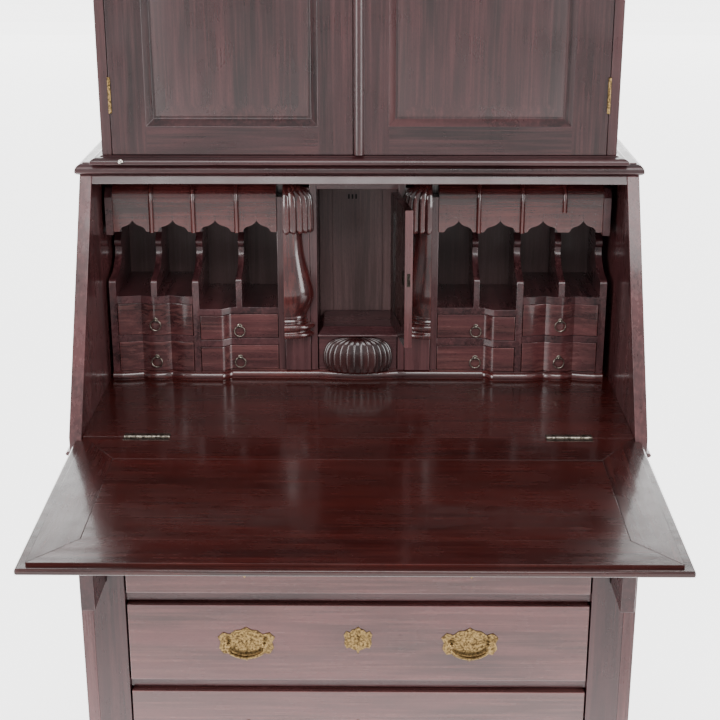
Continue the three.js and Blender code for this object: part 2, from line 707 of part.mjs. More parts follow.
// Document boxes behind quarter columns. Each profile point is [radius, height].
const columnProfile = [
  [0, 87], [48, 87], [51, 90], [51, 95], [47, 99], [49, 101], [52, 107], [50, 113], [38, 115], [40, 119],
  [37, 122.5], [39, 126], [36.5, 130], [42, 139], [48, 152], [51, 166], [50.5, 178], [48, 190], [44.7, 202],
  [41.2, 220], [37.7, 234.5], [34.6, 249], [33, 264], [31.8, 290], [44, 290], [52, 296], [53, 345],
  [51, 357], [44, 369], [30, 379], [0, 383],
];
function documentColumn() {
  const geometry = new THREE.LatheGeometry(columnProfile.map(([r, z]) => new THREE.Vector2(r, z)), 48);
  geometry.rotateX(Math.PI / 2);
  geometry.scale(1, COLUMN_DEPTH_RATIO, 1);
  const axisX = uprightInner[0] - SLIDE_GAP;
  geometry.translate(axisX, JAMB_FRONT, WRITING_HEIGHT);
  const quarter = solid(geometry).intersect(
    box([axisX - 60, axisX], [JAMB_FRONT - 60, JAMB_FRONT - CLEAR], raise([80, 390])),
  );
  const width = [PROSPECT_HALF + UPRIGHT + SLIDE_GAP, axisX];
  return union(
    quarter,
    box(width, [JAMB_FRONT - 1, JAMB_FRONT + 12], raise([GALLERY_BASE + SLIDE_GAP, COLUMN_TOP])),
    box(width, [JAMB_FRONT - 3, JAMB_FRONT], raise([GALLERY_BASE + SLIDE_GAP, 87.5])),
    smallTray(width, JAMB_FRONT + 11, [GALLERY_BASE + SLIDE_GAP, COLUMN_BOX_TOP]),
  );
}
addPair("document_column", documentColumn(), FRONT_WOOD, gallery);

// Eight small drawers with shaped fronts, each with a pierced stud, and their ring pulls.
function smallDrawer(bank, [z0, z1]) {
  const [from, to] = [bank[0] + 1, bank[1] - 1];
  const deepest = Math.max(...frontPoints(from, to).map(([, y]) => y));
  const middle = (from + to) / 2;
  const pull = ringPlace(bank, [z0, z1]);
  const ball = new THREE.SphereGeometry(STUD_RADIUS, 12, 8);
  ball.translate(...pull);
  const bore = new THREE.CylinderGeometry(STUD_HOLE, STUD_HOLE, 4 * STUD_RADIUS, 12);
  bore.rotateZ(Math.PI / 2);
  bore.translate(...pull);
  const shank = box([middle - 1.2, middle + 1.2], [pull[1] + STUD_HOLE + 0.4, deepest + 4],
    [pull[2] - 1.2, pull[2] + 1.2]);
  return union(
    alongZ([...frontPoints(from, to), [to, deepest + SMALL_FRONT - SERPENTINE],
      [from, deepest + SMALL_FRONT - SERPENTINE]], raise([z0, z1])),
    smallTray([from, to], deepest + SMALL_FRONT - SERPENTINE - 1, [z0, z1]),
    solid(ball).subtract(solid(bore)),
    shank,
  );
}
// Centre of the stud's bore, which is also the ring's axis.
function ringPlace(bank, [z0, z1]) {
  const middle = (bank[0] + bank[1]) / 2;
  return [middle, galleryFront(middle) - STUD_RADIUS, above((z0 + z1) / 2)];
}
function ring(place) {
  const geometry = new THREE.TorusGeometry(RING_RADIUS, RING_WIRE, 8, 24);
  geometry.rotateX(Math.PI / 2);
  geometry.translate(place[0], place[1], place[2] - RING_RADIUS);
  return solid(geometry);
}
const smallDrawers = [
  ["outer_upper", outerBank, [OUTER_RAIL[1] + SLIDE_GAP, OUTER_SHELF[0] - SLIDE_GAP]],
  ["outer_lower", outerBank, [GALLERY_BASE + SLIDE_GAP, OUTER_RAIL[0] - SLIDE_GAP]],
  ["inner_upper", innerBank, [INNER_RAIL[1] + SLIDE_GAP, INNER_SHELF[0] - SLIDE_GAP]],
  ["inner_lower", innerBank, [GALLERY_BASE + SLIDE_GAP, INNER_RAIL[0] - SLIDE_GAP]],
];
for (const [place, bank, heights] of smallDrawers) {
  addPair("small_drawer_" + place, smallDrawer(bank, heights), FRONT_WOOD, gallery);
  addPair("pull_ring_" + place, ring(ringPlace(bank, heights)), STEEL, gallery);
}

// Bookcase: moulded bottom, sides, back, shelf, and a hollow cornice as its top.
const bookHalf = BOOKCASE_WIDTH / 2;
const bookInside = bookHalf - BOOKCASE_SIDE;
const bookFloor = DESK_TOP + BOOKCASE_MOULDING;
const bookTop = bookFloor + BOOKCASE_HEIGHT;
add(
  "bookcase_bottom",
  mouldedBoard(bookHalf + BOOKCASE_MOULDING_OUT, BOOKCASE_FRONT - BOOKCASE_MOULDING_OUT, CASE_DEPTH, DESK_TOP, [
    [0, 0],
    [0, 4],
    ...arc(BOOKCASE_MOULDING_OUT - 4, 4, BOOKCASE_MOULDING_OUT - 4, 8, 180, 90, 5),
    [BOOKCASE_MOULDING_OUT - 2, BOOKCASE_MOULDING],
  ]),
  CASE_WOOD,
);
addPair(
  "bookcase_side",
  box([bookInside, bookHalf], [BOOKCASE_FRONT, CASE_DEPTH], [bookFloor, bookTop]),
  CASE_WOOD,
);
add(
  "bookcase_back",
  box([-bookInside, bookInside], [CASE_DEPTH - BOOKCASE_BACK, CASE_DEPTH], [bookFloor, bookTop]),
  INSIDE_WOOD,
);
const shelfHeight = bookFloor + BOOKCASE_HEIGHT / 2;
add(
  "bookcase_shelf",
  box([-bookInside, bookInside], [BOOKCASE_FRONT + BOOK_DOOR + 4, CASE_DEPTH - BOOKCASE_BACK],
    [shelfHeight, shelfHeight + BOOK_SHELF]),
  INSIDE_WOOD,
);
const corniceMoulding = [
  [CORNICE_OUT, 0],
  [CORNICE_OUT - 6, 0],
  [CORNICE_OUT - 6, 12],
  ...arc(0, 12, CORNICE_OUT - 10, CORNICE_HEIGHT - 32, 0, 90, 6).map(([a, b]) => [a + 4, b]),
  [0, CORNICE_HEIGHT - 16],
  [0, CORNICE_HEIGHT],
];
add(
  "bookcase_cornice",
  mouldedBoard(bookHalf + CORNICE_OUT, BOOKCASE_FRONT - CORNICE_OUT, CASE_DEPTH, bookTop, corniceMoulding)
    .subtract(box([-bookInside, bookInside], [BOOKCASE_FRONT + 10, CASE_DEPTH - 12],
      [bookTop + BOOKCASE_SIDE, bookTop + CORNICE_HEIGHT + 1])),
  CASE_WOOD,
);

// Bookcase doors: mitred frame, bevelled moulding and a raised panel. The right one carries the astragal.
function bookDoor([x0, x1]) {
  const z0 = bookFloor + DOOR_GAP;
  const z1 = bookTop - DOOR_GAP;
  const leaf = box([x0, x1], [BOOKCASE_FRONT, BOOKCASE_FRONT + BOOK_DOOR], [z0, z1]);
  const opening = [x0 + BOOK_STILE, x1 - BOOK_STILE, z0 + BOOK_RAIL, z1 - BOOK_STILE];
  const rectangle = (inset, [a, b, c, d] = opening) =>
    new THREE.Shape([[a, c], [b, c], [b, d], [a, d]].map(([x, z], i) => {
      const signs = [[1, 1], [-1, 1], [-1, -1], [1, -1]][i];
      return new THREE.Vector2(x + signs[0] * inset, z + signs[1] * inset);
    }));
  const bevelled = (inset, depth, thickness, size) => {
    const geometry = new THREE.ExtrudeGeometry(rectangle(inset), {
      depth, bevelEnabled: true, bevelThickness: thickness, bevelSize: size, bevelSegments: 1,
    });
    geometry.applyMatrix4(new THREE.Matrix4().makeBasis(EX, EZ, EY.clone().negate()));
    return geometry;
  };
  const recess = bevelled(12, BOOK_DOOR, 12, 12).translate(0, BOOKCASE_FRONT, 0);
  const field = bevelled(40, 1, 8, 24).translate(0, BOOKCASE_FRONT + 12, 0);
  return leaf.subtract(solid(recess)).add(solid(field));
}
const meeting = -ASTRAGAL / 2;
add("bookcase_door_left", bookDoor([-bookInside + DOOR_GAP, meeting - DOOR_GAP]), CASE_WOOD);
const astragal = alongZ(
  arc(0, BOOKCASE_FRONT + 1, ASTRAGAL / 2, 9, 180, 360, 10),
  [bookFloor + DOOR_GAP, bookTop - DOOR_GAP],
);
add(
  "bookcase_door_right",
  union(bookDoor([meeting, bookInside - DOOR_GAP]), astragal),
  CASE_WOOD,
);

// The group's origin is at the middle of the floor under its box, with the fall open.
desk.updateMatrixWorld(true);
desk.position.y = -new THREE.Box3().setFromObject(desk, true).getCenter(new THREE.Vector3()).y;

export default desk;
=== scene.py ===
import json
import math

import bmesh
import bpy
from mathutils import Matrix, Vector


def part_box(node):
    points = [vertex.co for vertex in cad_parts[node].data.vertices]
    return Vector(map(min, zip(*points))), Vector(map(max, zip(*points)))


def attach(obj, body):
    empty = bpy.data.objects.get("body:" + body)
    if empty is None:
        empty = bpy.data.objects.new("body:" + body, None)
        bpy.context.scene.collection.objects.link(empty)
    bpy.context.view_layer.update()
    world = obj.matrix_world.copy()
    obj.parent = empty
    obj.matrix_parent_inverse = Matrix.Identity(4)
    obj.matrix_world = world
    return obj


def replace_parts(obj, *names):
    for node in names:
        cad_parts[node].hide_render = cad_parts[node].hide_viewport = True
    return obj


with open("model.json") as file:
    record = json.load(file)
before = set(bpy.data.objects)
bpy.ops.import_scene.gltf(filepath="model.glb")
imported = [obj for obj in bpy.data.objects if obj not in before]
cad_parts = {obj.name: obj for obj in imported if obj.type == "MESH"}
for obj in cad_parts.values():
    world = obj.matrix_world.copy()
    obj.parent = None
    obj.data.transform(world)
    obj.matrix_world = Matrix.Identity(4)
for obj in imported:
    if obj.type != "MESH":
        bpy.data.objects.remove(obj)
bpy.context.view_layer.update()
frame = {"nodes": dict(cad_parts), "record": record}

# The desk's own datums: the front plane of the lower case and the writing surface. A place is given in
# millimetres from them: to the right of the middle, behind the case front, above the writing surface.
CASE_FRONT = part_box("case_side_right")[0][1]
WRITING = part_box("writing_board")[1][2]


def at(x, y, z):
    return Vector((x / 1000, CASE_FRONT + y / 1000, WRITING + z / 1000))


# Studio: a seamless sweep of white paper that glows where it passes the desk, pale surroundings, a long
# softbox at each side and a broad one in front and above. The lens is a short telephoto, a little over two
# metres from the case.
FLOOR_SIZE = 60
WALL_AT, WALL_HEIGHT, SWEEP_RADIUS = 14.0, 9.0, 2.0
PAPER_GLOW_FRONT, PAPER_GLOW_BEHIND = 0.3, 2.8
GLOW_FROM, GLOW_TO = -0.9, 0.1
SKY_STRENGTH = 0.8
BOX_SIZE, BOX_AIM = (1.4, 2.4), (0, 0.2, 1.0)
camera = bpy.data.objects.new("camera", bpy.data.cameras.new("camera"))
camera.data.lens = 72.6
camera.data.sensor_width = 36
camera.location = at(27.3, -2323.3, 951.5)
camera.rotation_euler = (math.pi / 2 - 0.3348, 0.0007, 0.0098)
bpy.context.scene.collection.objects.link(camera)
bpy.context.scene.camera = camera


def linear(hex_code):
    channels = [int(hex_code[i:i + 2], 16) / 255 for i in (1, 3, 5)]
    return (*(c / 12.92 if c <= 0.04045 else ((c + 0.055) / 1.055) ** 2.4 for c in channels), 1)


def add_node(tree, kind, inputs=None, **settings):
    made = tree.nodes.new(kind)
    for name, value in settings.items():
        setattr(made, name, value)
    for name, value in (inputs or {}).items():
        if isinstance(value, bpy.types.NodeSocket):
            tree.links.new(value, made.inputs[name])
        else:
            made.inputs[name].default_value = value
    return made


world = bpy.data.worlds.new("studio")
world.use_nodes = True
world.node_tree.nodes["Background"].inputs["Color"].default_value = linear("#ffffff")
world.node_tree.nodes["Background"].inputs["Strength"].default_value = SKY_STRENGTH
bpy.context.scene.world = world

sweep = [(-FLOOR_SIZE / 2, 0), (WALL_AT - SWEEP_RADIUS, 0)]
sweep += [(WALL_AT - SWEEP_RADIUS + SWEEP_RADIUS * math.sin(math.radians(a)),
           SWEEP_RADIUS - SWEEP_RADIUS * math.cos(math.radians(a))) for a in range(10, 91, 10)]
sweep.append((WALL_AT, WALL_HEIGHT))
floor_mesh = bpy.data.meshes.new("studio_floor")
floor_mesh.from_pydata(
    [(x, y, z) for y, z in sweep for x in (-FLOOR_SIZE / 2, FLOOR_SIZE / 2)], [],
    [(2 * i, 2 * i + 1, 2 * i + 3, 2 * i + 2) for i in range(len(sweep) - 1)])
floor = bpy.data.objects.new("studio_floor", floor_mesh)
bpy.context.scene.collection.objects.link(floor)
paper = bpy.data.materials.new("seamless paper")
paper.use_nodes = True
paper_shader = paper.node_tree.nodes["Principled BSDF"]
paper_shader.inputs["Base Color"].default_value = linear("#f4f3f2")
paper_shader.inputs["Roughness"].default_value = 0.9
paper_shader.inputs["Emission Color"].default_value = linear("#ffffff")
paper_place = add_node(paper.node_tree, "ShaderNodeTexCoord").outputs["Object"]
paper_depth = add_node(paper.node_tree, "ShaderNodeSeparateXYZ", {"Vector": paper_place}).outputs["Y"]
glow = add_node(paper.node_tree, "ShaderNodeMapRange", {
    "Value": paper_depth, "From Min": GLOW_FROM, "From Max": GLOW_TO,
    "To Min": PAPER_GLOW_FRONT, "To Max": PAPER_GLOW_BEHIND}, interpolation_type="SMOOTHSTEP").outputs[0]
paper.node_tree.links.new(glow, paper_shader.inputs["Emission Strength"])
floor_mesh.materials.append(paper)


def softbox(name, place, aim, size, power):
    light = bpy.data.lights.new(name, "AREA")
    light.shape = "RECTANGLE"
    light.size, light.size_y = size
    light.energy = power
    lamp = bpy.data.objects.new(name, light)
    lamp.location = place
    lamp.rotation_euler = (Vector(aim) - Vector(place)).to_track_quat("-Z", "Y").to_euler()
    bpy.context.scene.collection.objects.link(lamp)


softbox("softbox_left", (-2.6, -2.2, 1.7), BOX_AIM, BOX_SIZE, 75)
softbox("softbox_right", (2.7, -2.0, 1.7), BOX_AIM, BOX_SIZE, 70)
softbox("softbox_above", (0.1, -2.4, 3.6), (0, 0.1, 1.0), (2.6, 1.6), 75)

# Mahogany: sawn boards stained dark and finished with a rubbed lacquer. The eye gets a red-brown ground with
# long darker streaks, short open pores, and reflections that waver where the lacquer follows the planed wood.
PORE_WIDTH = 0.00075
STREAK_WIDTH = 0.006
FIGURE_WIDTH = 0.05
WAVER_WIDTH = 0.045
woods = {}
TONES = {
    "case": ("#1e0d0f", "#381b1e", "#563031", 0.3, 0.4),
    "sides": ("#2c1517", "#512c2e", "#744646", 0.28, 0.5),
    "fall": ("#180606", "#340f0d", "#54201a", 0.24, 0.45),
    # front: lighter than the case partly to stand for the sheen on the drawer fronts, a painted sheen over
    # the wood's own tone.
    "front": ("#2c1416", "#5a3032", "#81504c", 0.22, 0.8),
    "frame": ("#241215", "#49272a", "#6c4243", 0.28, 0.5),
    "inside": ("#3a2827", "#5e4444", "#7c5f5e", 0.5, 0.1),
    "polished": ("#2a1011", "#4c2020", "#723632", 0.13, 0.9),
    "carved": ("#1c0a0b", "#331414", "#4c2422", 0.2, 0.5),
    # shade: a darkened copy of the wood, painted shade for the open prospect door's faces and the rear faces
    # of the backs.
    "shade": ("#0d0506", "#190b0c", "#2a1512", 0.24, 0.3),
}


def mahogany(tone, grain):
    """Stained mahogany of one tone whose grain runs along axis 0, 1 or 2."""
    if (tone, grain) in woods:
        return woods[tone, grain]
    dark, middle, light, roughness, lacquer = TONES[tone]
    material = bpy.data.materials.new(f"lacquered mahogany {tone} {'xyz'[grain]}")
    material.use_nodes = True
    tree = material.node_tree
    shader = tree.nodes["Principled BSDF"]
    place = add_node(tree, "ShaderNodeTexCoord").outputs["Object"]

    def stretched(width, along):
        scale = [1 / width] * 3
        scale[grain] = 1 / (width * along)
        return add_node(tree, "ShaderNodeMapping", {"Vector": place, "Scale": scale}).outputs[0]

    def noise(vector, detail, rough=0.55, distortion=0.0):
        return add_node(tree, "ShaderNodeTexNoise", {
            "Vector": vector, "Scale": 1.0, "Detail": detail, "Roughness": rough,
            "Distortion": distortion}).outputs["Fac"]

    def ramp(value, low, high, from_value=0.0, to_value=1.0):
        return add_node(tree, "ShaderNodeMapRange", {
            "Value": value, "From Min": low, "From Max": high, "To Min": from_value,
            "To Max": to_value}).outputs[0]

    def blend(factor, first, second, how="MIX"):
        return add_node(tree, "ShaderNodeMix", {0: factor, 6: first, 7: second}, data_type="RGBA",
                        blend_type=how).outputs[2]

    figure = noise(stretched(FIGURE_WIDTH, 9), 2, distortion=0.8)
    streaks = noise(stretched(STREAK_WIDTH, 34), 5, 0.62, 0.25)
    pores = noise(stretched(PORE_WIDTH, 10), 2, 0.7)

    ground = blend(ramp(figure, 0.33, 0.68), linear(dark), linear(middle))
    grain_colour = blend(ramp(streaks, 0.46, 0.78, 0, 0.6), ground, linear(light))
    shade = ramp(pores, 0.5, 0.66, 1.0, 0.62)
    pored = blend(1.0, grain_colour, shade, "MULTIPLY")
    # Painted highlight: convex edges (high pointiness) are lightened towards the light tone, standing for the
    # sheen the edges catch.
    edge = add_node(tree, "ShaderNodeNewGeometry").outputs["Pointiness"]
    wear_and_sheen = blend(ramp(edge, 0.54, 0.64, 0, 0.5), pored, linear(light))
    tree.links.new(wear_and_sheen, shader.inputs["Base Color"])

    smudge = noise(add_node(tree, "ShaderNodeMapping", {
        "Vector": place, "Scale": (14, 14, 14)}).outputs[0], 3)
    sheen = add_node(tree, "ShaderNodeMath", {
        0: ramp(streaks, 0.3, 0.7, -0.03, 0.05),
        1: ramp(smudge, 0.35, 0.65, roughness - 0.05, roughness + 0.07)}, operation="ADD").outputs[0]
    tree.links.new(sheen, shader.inputs["Roughness"])
    waver = noise(stretched(WAVER_WIDTH, 2.5), 1)
    planed = add_node(tree, "ShaderNodeBump", {
        "Height": waver, "Strength": 0.35, "Distance": 0.0016}).outputs[0]
    grained = add_node(tree, "ShaderNodeBump", {
        "Height": pores, "Strength": 0.25, "Distance": 0.0002, "Normal": planed}).outputs[0]
    tree.links.new(grained, shader.inputs["Normal"])
    tree.links.new(planed, shader.inputs["Coat Normal"])
    shader.inputs["IOR"].default_value = 1.5
    shader.inputs["Coat Weight"].default_value = lacquer
    shader.inputs["Coat Roughness"].default_value = 0.1
    shader.inputs["Coat IOR"].default_value = 1.5
    woods[tone, grain] = material
    return material


# Case, gallery and bookcase boards: planed boards whose arrises were eased with a plane and sandpaper before
# staining, so each edge catches a thin line of light. Each keeps the outline of its solid.
CREASE = math.radians(38)
BODIES = frame["record"]["behaviour"]["bodies"]


def piece(name, mesh, body, materials):
    thing = bpy.data.objects.new(name, mesh)
    bpy.context.scene.collection.objects.link(thing)
    mesh.materials.clear()
    for material in materials:
        mesh.materials.append(material)
    form = bmesh.new()
    form.from_mesh(mesh)
    for face in form.faces:
        face.smooth = True
    for edge in form.edges:
        if edge.is_manifold and edge.calc_face_angle() > CREASE:
            edge.smooth = False
    form.to_mesh(mesh)
    form.free()
    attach(thing, body)
    return thing


def flattened(thing):
    """The object's mesh with its modifiers applied."""
    graph = bpy.context.evaluated_depsgraph_get()
    graph.update()
    mesh = bpy.data.meshes.new_from_object(thing.evaluated_get(graph))
    thing.modifiers.clear()
    return mesh


def eased(mesh, radius, segments=2, angle=30):
    """The mesh with its sharp edges rounded; each rounding is shaded apart from the flat faces beside it."""
    blank = bpy.data.objects.new("blank", mesh)
    bpy.context.scene.collection.objects.link(blank)
    bevel = blank.modifiers.new("ease", "BEVEL")
    bevel.width = radius
    bevel.segments = segments
    bevel.limit_method = "ANGLE"
    bevel.angle_limit = math.radians(angle)
    bevel.miter_outer = "MITER_ARC"
    mesh.materials.append(None)
    mesh.materials.append(None)
    bevel.material = 1
    made = flattened(blank)
    bpy.data.objects.remove(blank)
    form = bmesh.new()
    form.from_mesh(made)
    for edge in form.edges:
        if len({face.material_index for face in edge.link_faces}) == 2:
            edge.smooth = False
    for face in form.faces:
        face.material_index = 0
    form.to_mesh(made)
    form.free()
    return made


body_of_node = {node: body for body, nodes in BODIES.items() for node in nodes}


def board(node, tone, grain, radius=0.001):
    form = bmesh.new()
    form.from_mesh(frame["nodes"][node].data)
    bmesh.ops.remove_doubles(form, verts=form.verts, dist=1e-5)
    bmesh.ops.dissolve_limit(form, angle_limit=math.radians(0.4), verts=form.verts, edges=form.edges)
    mesh = bpy.data.meshes.new(node + "_board")
    form.to_mesh(mesh)
    form.free()
    made = piece(node + "_board", eased(mesh, radius), body_of_node[node],
                 [mahogany(tone, grain)])
    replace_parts(made, node)
    return made


def second_material_in_region(thing, tone, grain, cuts, inside):
    """Cut a board along planes of (axis, place) and give the faces that lie inside a region another tone and
    grain.
    """
    form = bmesh.new()
    form.from_mesh(thing.data)
    for axis, place in cuts:
        normal = [0, 0, 0]
        normal[axis] = 1
        spot = [place * n for n in normal]
        bmesh.ops.bisect_plane(form, geom=form.verts[:] + form.edges[:] + form.faces[:], dist=1e-5,
                               plane_co=spot, plane_no=normal)
    for face in form.faces:
        if inside(face.calc_center_median()):
            face.material_index = 1
    form.to_mesh(thing.data)
    form.free()
    thing.data.materials.append(mahogany(tone, grain))


ACROSS, DEEP, UPRIGHT = 0, 1, 2
DOOR_FRAME, DOOR_BOTTOM_RAIL = 0.062, 0.05
LEFT_LEAF_EDGE, RIGHT_LEAF_EDGE = -0.0105, -0.0083
REAR_SKIN = 0.002
for side in ("left", "right"):
    board(f"case_side_{side}", "sides", UPRIGHT, 0.0015)
    board(f"loper_stile_{side}", "case", UPRIGHT, 0.0012)
    board(f"loper_{side}", "case", DEEP, 0.0015)
    board(f"column_upright_{side}", "frame", UPRIGHT)
    board(f"prospect_jamb_{side}", "frame", UPRIGHT)
    board(f"pigeonhole_frame_outer_{side}", "frame", DEEP)
    board(f"pigeonhole_frame_inner_{side}", "frame", DEEP)
    board(f"bookcase_side_{side}", "case", UPRIGHT, 0.0015)
    leaf = board(f"bookcase_door_{side}", "case", UPRIGHT, 0.0012)
    (x0, _, z0), (x1, _, z1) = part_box(f"bookcase_door_{side}")
    if side == "left":
        x1 = min(x1, LEFT_LEAF_EDGE)
    else:
        x0 = RIGHT_LEAF_EDGE
    x0, x1 = x0 + DOOR_FRAME, x1 - DOOR_FRAME
    low, high = z0 + DOOR_BOTTOM_RAIL, z1 - DOOR_FRAME
    second_material_in_region(leaf, "case", ACROSS, [(0, x0), (0, x1), (2, low), (2, high)],
              lambda spot: x0 < spot.x < x1 and not low < spot.z < high)
for node in ("dust_board_1", "dust_board_2", "dust_board_3", "prospect_header", "bookcase_shelf"):
    board(node, "frame", ACROSS)
for node in ("case_base", "desk_top", "slant_rail", "bookcase_bottom", "bookcase_cornice"):
    board(node, "case", ACROSS, 0.0012)
board("writing_board", "fall", ACROSS)
# The rear faces of the backs take the darkened shade tone: painted shade.
for node in ("case_back", "bookcase_back"):
    back = board(node, "inside", UPRIGHT)
    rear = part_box(node)[1][1] - REAR_SKIN
    second_material_in_region(back, "shade", UPRIGHT, [], lambda spot: spot.y > rear)
for number in (1, 2, 3, 4):
    board(f"long_drawer_{number}", "front", ACROSS, 0.0015)


# Shapes for the pieces that follow. A loft joins closed rows of points and closes both ends; its faces are
# then turned outwards.
def loft(name, rows):
    form = bmesh.new()
    loops = [[form.verts.new(point) for point in row] for row in rows]
    for first, second in zip(loops, loops[1:]):
        for i, corner in enumerate(first):
            after = (i + 1) % len(first)
            form.faces.new((corner, first[after], second[after], second[i]))
    form.faces.new(loops[0])
    form.faces.new(loops[-1])
    bmesh.ops.remove_doubles(form, verts=form.verts, dist=1e-6)
    bmesh.ops.recalc_face_normals(form, faces=form.faces)
    mesh = bpy.data.meshes.new(name)
    form.to_mesh(mesh)
    form.free()
    return mesh


def joined(name, *meshes):
    form = bmesh.new()
    for mesh in meshes:
        form.from_mesh(mesh)
    made = bpy.data.meshes.new(name)
    form.to_mesh(made)
    form.free()
    return made


def slab(outline, low, high):
    """An outline seen from above, given a height; all in millimetres."""
    return loft("slab", [[at(x, y, z) for x, y in outline] for z in (low, high)])


def block(across, deep, high):
    (x0, x1), (y0, y1) = across, deep
    return slab([(x0, y0), (x1, y0), (x1, y1), (x0, y1)], *high)


def sides_of(range_mm, side):
    low, high = (value * side + GALLERY_X for value in range_mm)
    return (low, high) if side > 0 else (high, low)


# Fall board: a mitred frame round a wide panel, glued on a thinner back board whose rounded lip laps the case
# when it is shut. It hangs a degree and a half below level, as its lopers have play.
SAG = math.radians(1.5)
FALL_AXIS = 4.775
FIELD_HALF, FIELD_END = 475, 452.08
LIP_HALF, LIP_END, LIP_START = 489.5, 465.42, 5.3
LIP_TOP, FALL_UNDERSIDE = -4.5, -14.5
STILE, FRONT_RAIL, HINGE_RAIL = 66, 74, 92
JOINT_STEP = 0.35
fall_pin = at(0, FALL_AXIS, 0)
FALL_TURN = Matrix.Translation(fall_pin) @ Matrix.Rotation(SAG, 4, "X") @ Matrix.Translation(-fall_pin)


def hung(mesh):
    """A mesh drawn with the fall level, turned to the angle the fall hangs at."""
    mesh.transform(FALL_TURN)
    return mesh


def fall_part(outline, low, high, radius):
    return eased(slab([(x, FALL_AXIS - y) for x, y in outline], low, high), radius)


inner_x, inner_front = FIELD_HALF - STILE, FIELD_END - FRONT_RAIL
frame_foot = LIP_TOP - 3
rails = joined(
    "fall_rails",
    fall_part([(-FIELD_HALF, FIELD_END), (FIELD_HALF, FIELD_END), (inner_x, inner_front),
               (-inner_x, inner_front)], frame_foot, 0, 0.0007),
    fall_part([(-inner_x, HINGE_RAIL), (inner_x, HINGE_RAIL), (FIELD_HALF, 0.4), (-FIELD_HALF, 0.4)],
              frame_foot, 0, 0.0007),
    fall_part([(-inner_x, inner_front), (inner_x, inner_front), (inner_x, HINGE_RAIL),
               (-inner_x, HINGE_RAIL)], frame_foot, -JOINT_STEP, 0.0005),
)
stiles = joined("fall_stiles", *(
    fall_part([(s * FIELD_HALF, FIELD_END), (s * inner_x, inner_front), (s * inner_x, HINGE_RAIL),
               (s * FIELD_HALF, 0.4)], frame_foot, 0, 0.0007) for s in (-1, 1)))
lip = joined(
    "fall_lip",
    eased(slab([(-LIP_HALF, FALL_AXIS - LIP_END), (LIP_HALF, FALL_AXIS - LIP_END),
                (LIP_HALF, FALL_AXIS - LIP_START), (-LIP_HALF, FALL_AXIS - LIP_START)],
               FALL_UNDERSIDE, LIP_TOP), 0.0034, 4),
    block((-FIELD_HALF, FIELD_HALF), (FALL_AXIS - LIP_START - 1, FALL_AXIS - 0.4),
          (FALL_UNDERSIDE + 0.2, LIP_TOP - 2)),
)
for mesh, grain in ((rails, ACROSS), (stiles, DEEP), (lip, ACROSS)):
    made = piece(mesh.name, hung(mesh), "fall", [mahogany("fall", grain)])
    if mesh is rails:
        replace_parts(made, "fall_board")

# Fall hinges: two plated butt hinges let in flush, their five knuckles on the line where the fall turns, with
# three countersunk screws in each leaf. The plate is duller and darker in cloudy patches.
HINGE_REACH = (325, 405)
LEAF_DEEP, LEAF_PROUD, KNUCKLES, KNUCKLE_RADIUS, KNUCKLE_CHAMFER = 15, 0.3, 5, 2.9, 0.4
SCREW_RADIUS, SCREW_STEP = 2.6, 26


def metal(name, colour, wear_and_sheen, roughness):
    """Cast or rolled metal, duller and darker in cloudy patches."""
    material = bpy.data.materials.new(name)
    material.use_nodes = True
    tree = material.node_tree
    shader = tree.nodes["Principled BSDF"]
    place = add_node(tree, "ShaderNodeTexCoord").outputs["Object"]
    cloud = add_node(tree, "ShaderNodeTexNoise", {
        "Vector": place, "Scale": 260, "Detail": 4, "Roughness": 0.6}).outputs["Fac"]
    tint = add_node(tree, "ShaderNodeValToRGB", {"Fac": cloud})
    tint.color_ramp.elements[0].position, tint.color_ramp.elements[1].position = 0.38, 0.62
    tint.color_ramp.elements[0].color, tint.color_ramp.elements[1].color = linear(wear_and_sheen), linear(colour)
    tree.links.new(tint.outputs["Color"], shader.inputs["Base Color"])
    rough = add_node(tree, "ShaderNodeMapRange", {
        "Value": cloud, "From Min": 0.35, "From Max": 0.65, "To Min": roughness + 0.18, "To Max": roughness})
    tree.links.new(rough.outputs[0], shader.inputs["Roughness"])
    shader.inputs["Metallic"].default_value = 1
    return material


BRASS = metal("aged brass", "#a68a5c", "#4d3c26", 0.3)
NICKEL = metal("worn nickel plate", "#a39b90", "#4d463f", 0.22)
DARK_IRON = metal("blackened iron screw", "#4a443e", "#241f1c", 0.4)


THINNEST = 0.02


def turned(centre, direction, profile, steps=24):
    """A turned part: the profile's (distance along the axis, radius) pairs, in millimetres."""
    axis = Vector(direction).normalized()
    across = axis.orthogonal().normalized()
    third = axis.cross(across)
    rows = []
    for along, radius in profile:
        turns = [2 * math.pi * i / steps for i in range(steps)]
        thick = max(radius, THINNEST)
        rows.append([centre + (axis * along + (across * math.cos(t) + third * math.sin(t)) * thick) / 1000
                     for t in turns])
    return loft("turned", rows)


def copies_tree():
    """Geometry nodes: one part set at every point of a mesh."""
    tree = bpy.data.node_groups.new("copies at points", "GeometryNodeTree")
    tree.interface.new_socket("Geometry", in_out="INPUT", socket_type="NodeSocketGeometry")
    for name, kind in (("Part", "NodeSocketObject"), ("Finish", "NodeSocketMaterial"),
                       ("Size", "NodeSocketFloat")):
        tree.interface.new_socket(name, in_out="INPUT", socket_type=kind)
    tree.interface.new_socket("Geometry", in_out="OUTPUT", socket_type="NodeSocketGeometry")
    given = add_node(tree, "NodeGroupInput")
    part = add_node(tree, "GeometryNodeObjectInfo", {"Object": given.outputs["Part"]})
    spread = add_node(tree, "GeometryNodeInstanceOnPoints", {
        "Points": given.outputs["Geometry"], "Instance": part.outputs["Geometry"],
        "Scale": given.outputs["Size"]})
    solid = add_node(tree, "GeometryNodeRealizeInstances", {"Geometry": spread.outputs[0]})
    finished = add_node(tree, "GeometryNodeSetMaterial", {
        "Geometry": solid.outputs[0], "Material": given.outputs["Finish"]})
    add_node(tree, "NodeGroupOutput", {"Geometry": finished.outputs[0]})
    return tree


COPIES = copies_tree()


